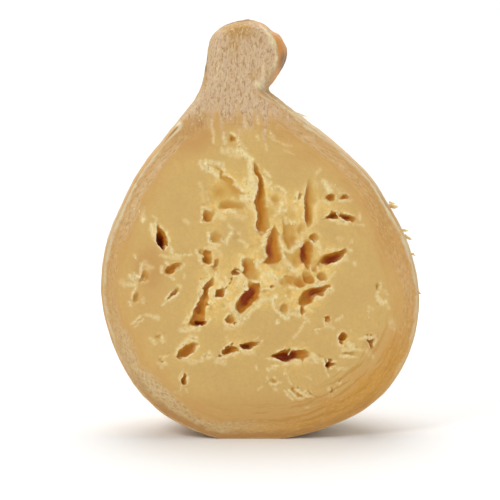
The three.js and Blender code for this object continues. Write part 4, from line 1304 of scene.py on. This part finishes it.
def add_relief(mesh, facts, sizes):
    """Waves, wrinkles, torn curd and lips, as real relief."""
    points = points_of(mesh)
    normals = normals_of(mesh)
    under, rim, torn = facts["under_rind"], facts["rim_distance"], facts["torn"]
    crust = 1 - fade(under, 0.6 * sizes.crust / MM, 1.3 * sizes.crust / MM)
    streaks = facts["flow"]

    upright = points / (1, 1, 6)
    neck = fade(points[:, 2], 150, 195)
    folds = (0.25 + 0.5 * neck) * (ridges(upright, 7, 41) - 0.6)
    fibres = fade(points[:, 2], 178, 194) * sizes.wrinkle / MM
    uneven = 0.7 * layered_noise(points, 2.4, 44)
    fibres = fibres * (1.2 * ridges(upright, 1.9, 43) - 0.6 + uneven)

    waves = 0.16 * layered_noise(points, 17, 3) + 0.05 * noise(points, 3.5, 5)
    lip = sizes.lip / MM * fade(facts["standing_out"], 0.03, 0.16) * facts["ragged"]
    lip = lip * (0.6 + 0.8 * noise(points, 2.6, 8)) * (1 - facts["in_hollow"])
    swell = 0.3 * np.exp(-rim / 4.0) * noise(points, 6, 9)
    crumbs = sizes.torn / MM * torn * layered_noise(points, 1.9, 12)
    wrinkles = sizes.wrinkle / MM * (ridges(streaks, 1.6, 21) - 0.6)
    wrinkles += 0.5 * sizes.wrinkle / MM * layered_noise(streaks, 0.9, 24, 2)
    knobs = 0.5 * sizes.wrinkle / MM * layered_noise(points, 3.0, 27)
    on_face = waves + lip + swell + crumbs + crust * (wrinkles + knobs) + fibres

    rough = 0.24 * layered_noise(points, 3.6, 31) + 0.07 * noise(points, 1.3, 35) + crumbs

    pits = 0.12 * layered_noise(points, 5, 45) + 0.45 * noise(points, 28, 47)
    on_rind = folds + pits + fibres

    height = np.where(facts["in_hollow"], rough, on_face)
    height = np.where(facts["on_rind"], on_rind, height)
    nick = np.linalg.norm((points - NICK_MIDDLE) / NICK_REACH, axis=1)
    height -= NICK_DEPTH * (1 - fade(nick, 0.0, 1.4))
    height *= fade(points[:, 2], 0.3, 3)
    put_points(mesh, points + normals * height[:, None])


def carry_over(old_points, mesh, facts):
    """Gives each point of the thinned mesh the facts of the nearest old one."""
    tree = tree_of(old_points)
    nearest = np.array([tree.find(point)[1] for point in points_of(mesh)])
    return {name: values[nearest] for name, values in facts.items()}


def make_half():
    """The cheese cut by the knife, its hollows torn open and its surface worn."""
    sizes = bpy.context.scene.cheese_sizes
    whole = body_mesh("whole_cheese")
    half = new_object(HALF_NAME, whole.copy())
    face = Face()
    depths = depth_field(face)
    carve(half, cutting_block(face, real_depth(depths)))
    remake_surface(half, sizes.fineness)
    put_points(half.data, evened(half.data, points_of(half.data), 2))
    facts = surface_facts(half.data, whole, face, depths, torn_field(face))
    add_relief(half.data, facts, sizes)
    fine_points = points_of(half.data)
    # The rind behind keeps the fewest triangles, and the rims of the hollows the most.
    near_front = 1 - fade(facts["behind"], 30, 60)
    keep = np.where(facts["on_rind"], 0.1 + 0.4 * near_front, 0.55)
    keep = np.maximum(keep, 0.85 * np.exp(-facts["rim_distance"] / 3))
    thin_out(half, sizes.triangles, keep)
    facts = carry_over(fine_points, half.data, facts)
    for name in NUMBERS_KEPT + VECTORS_KEPT:
        store(half.data, name, facts[name])
    smooth(half.data)
    bpy.data.meshes.remove(whole)
    return half


# ----------------------------------------------------------------- node trees


class Nodes:
    """A short way to write a node tree."""

    def __init__(self, tree):
        self.tree = tree

    def feed(self, made, inputs):
        """Links each input to a socket, or sets it to a plain value."""
        for name, value in inputs.items():
            if isinstance(value, bpy.types.NodeSocket):
                self.tree.links.new(value, made.inputs[name])
            elif value is not None:
                made.inputs[name].default_value = value

    def node(self, kind, inputs=None, **settings):
        made = self.tree.nodes.new(kind)
        for name, value in settings.items():
            setattr(made, name, value)
        self.feed(made, inputs or {})
        return made

    def math(self, operation, first, second):
        made = self.node("ShaderNodeMath", {0: first, 1: second}, operation=operation)
        return made.outputs[0]


class Fields(Nodes):
    """What a geometry tree needs besides."""

    def attribute(self, name):
        made = self.node("GeometryNodeInputNamedAttribute", {"Name": name}, data_type="FLOAT")
        return made.outputs[0]

    def random(self, low, high, seed):
        inputs = {0: low, 1: high, "Seed": seed}
        made = self.node("FunctionNodeRandomValue", inputs, data_type="FLOAT_VECTOR")
        return made.outputs[0]


class Shader(Nodes):
    """What a material's tree needs besides."""

    def attribute(self, name, output):
        return self.node("ShaderNodeAttribute", attribute_name=name).outputs[output]

    def parts(self, vector):
        """The three numbers of a vector, as outputs X, Y and Z."""
        return self.node("ShaderNodeSeparateXYZ", {0: vector}).outputs

    def stretched(self, vector, scale):
        inputs = {"Vector": vector, "Scale": scale}
        return self.node("ShaderNodeMapping", inputs, vector_type="POINT").outputs[0]

    def fade(self, value, start, end, low=0.0, high=1.0):
        inputs = dict(enumerate((value, start, end, low, high)))
        made = self.node("ShaderNodeMapRange", inputs, interpolation_type="SMOOTHSTEP")
        return made.outputs[0]

    def mix(self, share, first, second):
        inputs = {0: share, 6: first, 7: second}
        return self.node("ShaderNodeMix", inputs, data_type="RGBA").outputs[2]

    def noise(self, place, scale, detail=3.0, roughness=0.5, distortion=0.0):
        inputs = {"Vector": place, "Scale": scale, "Detail": detail}
        inputs.update({"Roughness": roughness, "Distortion": distortion})
        return self.node("ShaderNodeTexNoise", inputs).outputs[0]

    def bump(self, height, strength, distance, normal=None):
        inputs = {"Height": height, "Strength": strength, "Distance": distance}
        return self.node("ShaderNodeBump", {**inputs, "Normal": normal}).outputs[0]


def add_socket(tree, name, way, kind, default=None):
    """One more input or output of a node group."""
    socket = tree.interface.new_socket(name=name, in_out=way, socket_type=kind)
    if default is not None:
        socket.default_value = default


# ---------------------------------------------------------- crumbs and slivers


def crumb_tree():
    """Small flat crumbs strewn where the curd is torn, but not deep in a hollow."""
    too_deep, turn, wobble = 3.0, 6.283, 0.0012
    tree = bpy.data.node_groups.new("curd_crumbs", "GeometryNodeTree")
    add_socket(tree, "Geometry", "INPUT", "NodeSocketGeometry")
    add_socket(tree, "Density", "INPUT", "NodeSocketFloat", CRUMB_DENSITY)
    add_socket(tree, "Size", "INPUT", "NodeSocketFloat", CRUMB_SIZE * MM)
    add_socket(tree, "Seed", "INPUT", "NodeSocketInt", CRUMB_SEED)
    add_socket(tree, "Material", "INPUT", "NodeSocketMaterial")
    add_socket(tree, "Geometry", "OUTPUT", "NodeSocketGeometry")
    fields = Fields(tree)
    given = fields.node("NodeGroupInput").outputs
    torn = fields.attribute("torn")
    sunk = fields.math("GREATER_THAN", fields.attribute("hollow_depth"), too_deep)
    open_curd = fields.math("SUBTRACT", torn, sunk)
    likely = fields.math("MULTIPLY", open_curd, given["Density"])
    points = fields.node(
        "GeometryNodeDistributePointsOnFaces",
        {"Mesh": given["Geometry"], "Density": likely, "Seed": given["Seed"]},
    )
    ball = {"Radius": given["Size"], "Subdivisions": 2}
    crumb = fields.node("GeometryNodeMeshIcoSphere", ball)
    placed = fields.node(
        "GeometryNodeInstanceOnPoints",
        {
            "Points": points.outputs["Points"],
            "Instance": crumb.outputs["Mesh"],
            "Rotation": fields.random((0, 0, 0), (turn, turn, turn), given["Seed"]),
            "Scale": fields.random((0.22, 0.14, 0.4), (0.6, 0.34, 1.1), given["Seed"]),
        },
    )
    real = fields.node("GeometryNodeRealizeInstances", {0: placed.outputs[0]})
    shake = fields.node("ShaderNodeTexNoise", {"Scale": 1300.0, "Detail": 1.0})
    centred = fields.node(
        "ShaderNodeVectorMath",
        {0: shake.outputs["Color"], 1: (0.5, 0.5, 0.5)},
        operation="SUBTRACT",
    )
    offset = fields.node(
        "ShaderNodeVectorMath",
        {0: centred.outputs[0], "Scale": wobble},
        operation="SCALE",
    )
    shaken = fields.node(
        "GeometryNodeSetPosition", {"Geometry": real.outputs[0], "Offset": offset.outputs[0]}
    )
    smooth = fields.node("GeometryNodeSetShadeSmooth", {0: shaken.outputs[0]})
    coated = fields.node(
        "GeometryNodeSetMaterial", {0: smooth.outputs[0], "Material": given["Material"]}
    )
    fields.node("NodeGroupOutput", {0: coated.outputs[0]})
    return tree


def make_crumbs(half, material):
    """The crumbs as a plain mesh of their own."""
    crumbs = new_object("curd_crumbs", half.data.copy())
    modifier = crumbs.modifiers.new("curd_crumbs", "NODES")
    tree = crumb_tree()
    modifier.node_group = tree
    values = {"Density": CRUMB_DENSITY, "Size": CRUMB_SIZE * MM, "Seed": CRUMB_SEED}
    values["Material"] = material
    for item in tree.interface.items_tree:
        if item.in_out == "INPUT" and item.name in values:
            modifier[item.identifier] = values[item.name]
    bake_modifiers(crumbs)
    if not crumbs.data.polygons:
        raise RuntimeError("no crumbs were strewn")
    return crumbs


def make_slivers(material):
    """Thin leaves of curd and rind that are torn half off."""
    points = []
    faces = []
    stations, sides, half_thick = 10, 8, 0.22
    for x_0, z_0, depth_0, x_1, z_1, depth_1, width in SLIVERS:
        root = np.array((x_0, CUT_Y + depth_0, z_0))
        run = np.array((x_1, CUT_Y + depth_1, z_1)) - root
        across = np.cross(run / np.linalg.norm(run), (0, 1, 0))
        start = len(points)
        points.append(root)
        for station in range(1, stations):
            share = station / stations
            reach = width / 2 * (share * (1 - share) * 4) ** 0.5 * (1.25 - 0.5 * share)
            middle = root + share * run
            for side in range(sides):
                angle = 2 * math.pi * side / sides
                thick = np.array((0, half_thick * math.sin(angle), 0))
                points.append(middle + reach * math.cos(angle) * across + thick)
        points.append(root + run)
        tip = len(points) - 1
        for side in range(sides):
            beside = (side + 1) % sides
            faces.append((start, start + 1 + beside, start + 1 + side))
            last = tip - sides
            faces.append((tip, last + side, last + beside))
            for station in range(stations - 2):
                ring = start + 1 + station * sides
                here, next_one = ring + side, ring + beside
                faces.append((here, next_one, next_one + sides, here + sides))
    points = np.array(points)
    ragged = [0.35 * layered_noise(points, 1.6, seed) for seed in (101, 104, 107)]
    mesh = mesh_from("curd_slivers", points + np.transpose(ragged), faces)
    slivers = new_object("curd_slivers", mesh)
    smooth(slivers.data)
    slivers.data.materials.append(material)
    return slivers


# ------------------------------------------------------------------ materials


def curd_group():
    """Slow mottling and fine grain, shared by every cheese finish."""
    tree = bpy.data.node_groups.get("curd_mottle")
    if tree is not None:
        return tree
    tree = bpy.data.node_groups.new("curd_mottle", "ShaderNodeTree")
    add_socket(tree, "Place", "INPUT", "NodeSocketVector")
    add_socket(tree, "Mottle Scale", "INPUT", "NodeSocketFloat", 60.0)
    add_socket(tree, "Grain Scale", "INPUT", "NodeSocketFloat", 900.0)
    add_socket(tree, "Mottle", "OUTPUT", "NodeSocketFloat")
    add_socket(tree, "Grain", "OUTPUT", "NodeSocketFloat")
    shader = Shader(tree)
    given = shader.node("NodeGroupInput").outputs
    mottle = shader.noise(given["Place"], given["Mottle Scale"], 4.0)
    grain = shader.noise(given["Place"], given["Grain Scale"], 3.0)
    shader.node("NodeGroupOutput", {"Mottle": mottle, "Grain": grain})
    return tree


def new_material(name):
    """A material with only its shader and its output."""
    material = bpy.data.materials.new(name)
    material.use_nodes = True
    material.node_tree.nodes.clear()
    shader = Shader(material.node_tree)
    principled = shader.node("ShaderNodeBsdfPrincipled")
    shader.node("ShaderNodeOutputMaterial", {"Surface": principled.outputs[0]})
    return material, shader, principled


def place_curd(shader, group, mottle_scale, grain_scale):
    """The place on the piece, with the shared mottling and grain there."""
    place = shader.node("ShaderNodeTexCoord").outputs["Object"]
    inputs = {"Place": place, "Mottle Scale": mottle_scale, "Grain Scale": grain_scale}
    curd = shader.node("ShaderNodeGroup", inputs, node_tree=group)
    return place, curd.outputs["Mottle"], curd.outputs["Grain"]


def fibre_group():
    """Dry fibres: along the outline on the body, upright in the neck and head."""
    tree = bpy.data.node_groups.new("crust_fibres", "ShaderNodeTree")
    add_socket(tree, "Place", "INPUT", "NodeSocketVector")
    add_socket(tree, "Flow", "INPUT", "NodeSocketVector")
    add_socket(tree, "Fibres", "OUTPUT", "NodeSocketFloat")
    add_socket(tree, "Neck", "OUTPUT", "NodeSocketFloat")
    shader = Shader(tree)
    given = shader.node("NodeGroupInput").outputs
    along = shader.noise(given["Flow"], 1.1, 5.0, 0.62)
    upright = shader.stretched(given["Place"], (1.0, 1.0, 0.36))
    standing = shader.noise(upright, 940.0, 5.0, 0.66, 0.9)
    tongues = shader.noise(upright, 210.0, 3.0)
    shift = shader.fade(tongues, 0.2, 0.8, -0.012, 0.012)
    level = shader.math("ADD", shader.parts(given["Place"])["Z"], shift)
    neck = shader.fade(level, 0.173, 0.189)
    inputs = {0: neck, 2: along, 3: standing}
    fibres = shader.node("ShaderNodeMix", inputs, data_type="FLOAT").outputs[0]
    shader.node("NodeGroupOutput", {"Fibres": fibres, "Neck": neck})
    return tree


def cheese_material(group):
    """Paste, torn curd, hollows, dry zone and rind in one finish."""
    colours = bpy.context.scene.cheese_colours
    material, shader, principled = new_material("aged_stretched_curd")
    place, mottle, grain = place_curd(shader, group, 55.0, 1100.0)
    fact = {name: shader.attribute(name, "Fac") for name in NUMBERS_KEPT}
    vector = {name: shader.attribute(name, "Vector") for name in VECTORS_KEPT}
    depth, torn, tanned = fact["hollow_depth"], fact["torn"], fact["tanned"]
    glossy, standing_out = fact["glossy"], fact["standing_out"]
    edge_depth, flow = fact["edge_depth"], vector["flow"]
    tones, lines = shader.parts(vector["edge_tones"]), shader.parts(vector["edge_lines"])
    inputs = {"Place": place, "Flow": flow}
    crust = shader.node("ShaderNodeGroup", inputs, node_tree=fibre_group()).outputs
    fibre, neck = crust["Fibres"], crust["Neck"]

    def colour_of(name, share=1.0):
        return shade(getattr(colours, name), share)

    def times(first, second):
        return shader.math("MULTIPLY", first, second)

    def over(share, below, name, darker=1.0):
        """The colour below, with a share of one of the cheese's colours over it."""
        return shader.mix(share, below, colour_of(name, darker))

    # The paste is paler where it is torn open, and mottled in fine fibres.
    paste = over(fact["opened"], colour_of("paste"), "heart")
    paste = over(shader.fade(mottle, 0.35, 0.65, 0.0, 0.5), paste, "paste", 0.9)
    threads = shader.noise(place, 420.0, 4.0, 0.6)
    paste = over(shader.fade(threads, 0.4, 0.7, 0.0, 0.4), paste, "paste", 0.82)
    paste = over(shader.fade(grain, 0.35, 0.65, 0.0, 0.35), paste, "paste", 0.84)
    paste = over(tanned, paste, "orange", 0.92)

    # Hollows deepen from gold through amber to red brown: painted shade and a painted glow of
    # light scattered in the curd, darkest in the deepest holes.
    colour = over(shader.fade(depth, 0.4, 3.0, 0.0, 0.85), paste, "gold")
    colour = over(shader.fade(depth, 1.9, 5.0, 0.0, 0.95), colour, "amber")
    colour = over(shader.fade(depth, 6.4, 9.4, 0.0, 0.95), colour, "deep")
    colour = over(shader.fade(depth, 9.6, 11.6, 0.0, 0.8), colour, "deep", 0.4)
    # Painted shade: gold laid into the creases, less where the hollow is deep.
    painted_crease_shade = shader.fade(standing_out, -0.22, -0.04, 0.5, 0.0)
    painted_crease_shade = times(painted_crease_shade, shader.fade(depth, 1.0, 3.0, 1.0, 0.0))
    colour = over(painted_crease_shade, colour, "gold")

    # Pale torn curd round the hollows, and a painted highlight on the crisp lips.
    patchy = shader.fade(shader.noise(place, 230.0, 4.0), 0.45, 0.65)
    near = times(shader.fade(fact["rim_distance"], 0.0, 3.0, 0.45, 0.0), patchy)
    near = times(near, shader.fade(depth, 0.8, 2.2, 1.0, 0.0))
    colour = over(near, colour, "cream")
    crumbly = shader.fade(shader.noise(place, 620.0, 4.0, 0.65), 0.32, 0.6, 0.5, 1.0)
    pale = times(times(torn, crumbly), shader.fade(depth, 2.5, 5.0, 1.0, 0.3))
    colour = over(pale, colour, "cream")
    # Painted highlight: the lip colour on every edge that stands out, more where the curd is
    # ragged.
    lips = shader.fade(standing_out, 0.05, 0.2, 0.0, 0.7)
    lips = times(lips, shader.fade(fact["ragged"], 0.0, 1.0, 0.12, 1.0))
    colour = over(lips, colour, "lip")

    # Fine arcs along the golden edge.
    arcs = shader.stretched(flow, (1.0, 0.2, 1.0))
    arc = shader.fade(shader.noise(arcs, 0.5, 3.0), 0.5, 0.62, 0.0, 0.6)
    arc = times(arc, tones["Y"])
    arc = times(arc, shader.fade(edge_depth, 14.0, 24.0, 1.0, 0.0))

    # Tan where dry zone and paste meet, then the dry zone with its fibres.
    edge_noise = shader.noise(flow, 0.14, 3.0)
    ragged = shader.math("ADD", edge_depth, shader.fade(edge_noise, 0.15, 0.85, -3.5, 3.5))
    colour = over(shader.fade(ragged, 9.0, 19.0, 0.7, 0.0), colour, "orange")
    fibrous = shader.math("MAXIMUM", neck, tones["Z"])
    streaky = shader.fade(tones["X"], 0.0, 1.0, 0.25, 0.8)
    streaky = shader.math("MAXIMUM", fibrous, streaky)
    dry = over(tones["X"], colour_of("orange"), "dry")
    dry = over(tones["Y"], dry, "golden")
    dry = over(tones["Z"], dry, "fibrous")
    dry = over(neck, dry, "neck")
    dry = over(times(tanned, shader.fade(neck, 0.0, 1.0, 0.8, 1.0)), dry, "orange", 0.94)
    dry = over(times(streaky, shader.fade(fibre, 0.51, 0.62, 0.0, 0.8)), dry, "orange", 0.72)
    dry = over(times(streaky, shader.fade(fibre, 0.38, 0.49, 0.7, 0.0)), dry, "flake")
    in_crust = shader.math("MAXIMUM", shader.fade(ragged, 7.5, 11.5, 0.9, 0.0), neck)
    colour = shader.mix(in_crust, colour, dry)
    colour = over(arc, colour, "golden", 0.78)
    # Painted shade: brown laid into the sunk places of the neck and head.
    sunk = times(neck, shader.fade(depth, 0.3, 1.4, 0.0, 0.8))
    colour = over(sunk, colour, "brown", 0.8)
    ridge = times(times(torn, neck), crumbly)
    colour = over(ridge, colour, "lip")

    # The outer lines, and the rind outside.
    narrowed = times(fact["crust_depth"], shader.fade(neck, 0.0, 1.0, 1.0, 2.2))
    line_noise = shader.noise(flow, 0.3, 3.0)
    line = shader.math("ADD", narrowed, shader.fade(line_noise, 0.2, 0.8, -1.2, 1.2))
    colour = over(times(lines["X"], shader.fade(line, 2.6, 5.4, 0.9, 0.0)), colour, "brown")
    colour = over(times(lines["Y"], shader.fade(line, 3.0, 5.4, 0.5, 0.0)), colour, "orange")
    colour = over(times(lines["Y"], shader.fade(line, 1.0, 2.6, 0.95, 0.0)), colour, "bloom")
    bloom = shader.fade(shader.noise(place, 30.0, 6.0, 0.65), 0.3, 0.75, 0.05, 0.65)
    bloom = times(bloom, shader.fade(glossy, 0.0, 1.0, 1.0, 0.1))
    rind = over(bloom, colour_of("rind"), "bloom")
    rind = over(times(glossy, 0.9), rind, "glossy")
    # Painted shade: the tan spots darken the rind to brown along the head's outline.
    rind = over(tanned, rind, "brown", 0.6)
    rind = over(ridge, rind, "lip")
    on_rind = shader.fade(fact["crust_depth"], 0.3, 0.8, 1.0, 0.0)
    colour = shader.mix(on_rind, colour, rind)

    # Waxy paste, a drier edge and a polished head; grain, fibres and crumbs in relief.
    polish = shader.fade(times(glossy, on_rind), 0.0, 1.0, 0.0, 0.35)
    roughness = shader.math("SUBTRACT", shader.fade(ragged, 8.0, 14.0, 0.65, 0.48), polish)
    fine = shader.bump(grain, 0.25, 0.00025)
    fibre_bump = shader.bump(fibre, shader.fade(in_crust, 0.0, 1.0, 0.0, 0.8), 0.0012, fine)
    crumb_share = shader.fade(torn, 0.0, 1.0, 0.0, 0.6)
    crumb_bump = shader.bump(crumbly, crumb_share, 0.0008, fibre_bump)
    shader.feed(principled, {
        "Base Color": colour,
        "Roughness": roughness,
        "Normal": crumb_bump,
        "Subsurface Weight": 0.35,
        "Subsurface Radius": (0.85, 0.5, 0.2),
        "Subsurface Scale": 0.0016,
        "Specular IOR Level": 0.35,
    })
    return material


def crumb_material(group):
    """Loose bits of torn curd, a little uneven in tone."""
    material = bpy.data.materials.get("loose_curd")
    if material is not None:
        return material
    colours = bpy.context.scene.cheese_colours
    material, shader, principled = new_material("loose_curd")
    _, mottle, _ = place_curd(shader, group, 300.0, 1100.0)
    uneven = shader.fade(mottle, 0.35, 0.65)
    shader.feed(principled, {
        "Base Color": shader.mix(uneven, shade(colours.cream), shade(colours.paste, 1.05)),
        "Roughness": 0.6,
        "Subsurface Weight": 0.35,
        "Subsurface Radius": (1.0, 0.6, 0.3),
        "Subsurface Scale": 0.001,
    })
    return material


def shade(colour, share=1.0):
    """The colour with its red, green and blue scaled."""
    return (*(channel * share for channel in colour[:3]), 1.0)


# ---------------------------------------------------------------------- stage


def floor_material():
    """A plain, pale, matt floor, a little uneven in tone."""
    material, shader, principled = new_material("pale_floor")
    place = shader.node("ShaderNodeTexCoord").outputs["Object"]
    tone = shader.noise(place, 9.0, 2.0)
    colour = shader.mix(tone, srgb(243, 243, 242), srgb(246, 246, 246))
    shader.feed(principled, {"Base Color": colour, "Roughness": 0.7})
    return material


def make_floor():
    """A wide plain sweep: flat under the cheese, curving up far behind it."""
    half_width, front, back, radius, top, steps = 3.0, -3.0, 1.4, 0.9, 2.6, 16
    profile = [(front, 0.0), (back, 0.0)]
    for step in range(1, steps + 1):
        turn = math.pi / 2 * step / steps
        profile.append((back + radius * math.sin(turn), radius * (1 - math.cos(turn))))
    profile.append((back + radius, top))
    points = [(x / MM, y / MM, z / MM) for y, z in profile for x in (-half_width, half_width)]
    faces = [(2 * i, 2 * i + 1, 2 * i + 3, 2 * i + 2) for i in range(len(profile) - 1)]
    floor = new_object("pale_sweep", mesh_from("pale_sweep", points, faces))
    smooth(floor.data)
    floor.data.materials.append(floor_material())
    return floor


def aim(thing, place, target):
    """Puts the light or camera at a place and turns it to a target."""
    thing.location = place
    way = Vector(target) - Vector(place)
    thing.rotation_euler = way.to_track_quat("-Z", "Y").to_euler()


def area_light(name, place, target, size, power):
    """A round, soft, white light."""
    data = bpy.data.lights.new(name, "AREA")
    data.shape = "DISK"
    data.size = size
    data.energy = power
    aim(new_object(name, data), place, target)


def make_camera(stage):
    """The camera, a little to the left and looking slightly down at the cut face."""
    data = bpy.data.cameras.new("photo_camera")
    data.lens = stage.lens / MM
    data.sensor_width = 36.0
    data.clip_start, data.clip_end = 0.05, 20.0
    camera = new_object("photo_camera", data)
    aim_x, aim_z = -0.006, 0.109
    place = (aim_x, LOW.y - stage.distance, stage.camera_height)
    aim(camera, place, (aim_x, LOW.y, aim_z))
    bpy.context.scene.camera = camera


def make_world(strength):
    """Even white light from all round."""
    world = bpy.data.worlds.new("white_surroundings")
    world.use_nodes = True
    background = world.node_tree.nodes["Background"]
    background.inputs["Color"].default_value = (1, 1, 1, 1)
    background.inputs["Strength"].default_value = strength
    bpy.context.scene.world = world


# ------------------------------------------------------------------ operators


def declare(piece):
    """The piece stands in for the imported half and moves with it."""
    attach(piece, BODY)
    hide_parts(NODE)


class CHEESE_OT_half(bpy.types.Operator):
    """Builds the half cheese with its eyes, torn curd and rind"""

    bl_idname = "cheese.half"
    bl_label = "Half cheese"

    def execute(self, context):
        half = make_half()
        half.data.materials.clear()
        half.data.materials.append(cheese_material(curd_group()))
        declare(half)
        return {"FINISHED"}


class CHEESE_OT_crumbs(bpy.types.Operator):
    """Strews small crumbs where the curd is torn"""

    bl_idname = "cheese.crumbs"
    bl_label = "Crumbs"

    def execute(self, context):
        half = bpy.data.objects.get(HALF_NAME)
        if half is None:
            raise RuntimeError("the half has to be built first")
        declare(make_crumbs(half, crumb_material(curd_group())))
        return {"FINISHED"}


class CHEESE_OT_slivers(bpy.types.Operator):
    """Lays thin slivers of torn curd and rind"""

    bl_idname = "cheese.slivers"
    bl_label = "Slivers"

    def execute(self, context):
        declare(make_slivers(crumb_material(curd_group())))
        return {"FINISHED"}


class CHEESE_OT_stage(bpy.types.Operator):
    """Sets the pale floor, the soft light and the camera"""

    bl_idname = "cheese.stage"
    bl_label = "Stage"

    def execute(self, context):
        stage = context.scene.cheese_stage
        make_floor()
        make_camera(stage)
        make_world(stage.sky)
        middle = (0, LOW.y, 0.11)
        area_light("key", (-0.85, -1.3, 1.15), middle, 0.6, stage.key_power)
        area_light("fill", (1.2, -1.3, 0.5), middle, 1.2, stage.fill_power)
        area_light("overhead", (0, 0.7, 1.9), (0, 0.9, 0), 2.0, stage.overhead_power)
        context.scene.view_settings.view_transform = "Standard"
        return {"FINISHED"}


class CHEESE_PT_panel(bpy.types.Panel):
    """Lists the steps and their settings"""

    bl_idname = "CHEESE_PT_panel"
    bl_label = "Caciocavallo Half"
    bl_space_type = "VIEW_3D"
    bl_region_type = "UI"
    bl_category = "Cheese"

    def draw(self, context):
        layout = self.layout
        for step in STEPS:
            layout.operator(step.bl_idname)
        for group_name in GROUPS:
            group = getattr(context.scene, group_name)
            for name in group.__annotations__:
                layout.prop(group, name)


STEPS = (CHEESE_OT_half, CHEESE_OT_crumbs, CHEESE_OT_slivers, CHEESE_OT_stage)
GROUPS = {
    "cheese_sizes": CheeseSizes,
    "cheese_colours": CheeseColours,
    "cheese_stage": StageSizes,
}


def register():
    for name, group in GROUPS.items():
        bpy.utils.register_class(group)
        setattr(bpy.types.Scene, name, bpy.props.PointerProperty(type=group))
    for made in (*STEPS, CHEESE_PT_panel):
        bpy.utils.register_class(made)


def unregister():
    for made in (CHEESE_PT_panel, *reversed(STEPS)):
        bpy.utils.unregister_class(made)
    for name, group in GROUPS.items():
        delattr(bpy.types.Scene, name)
        bpy.utils.unregister_class(group)


def main():
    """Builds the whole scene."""
    register()
    bpy.ops.cheese.stage()
    bpy.ops.cheese.half()
    bpy.ops.cheese.crumbs()
    bpy.ops.cheese.slivers()


if __name__ == "__main__":
    main()
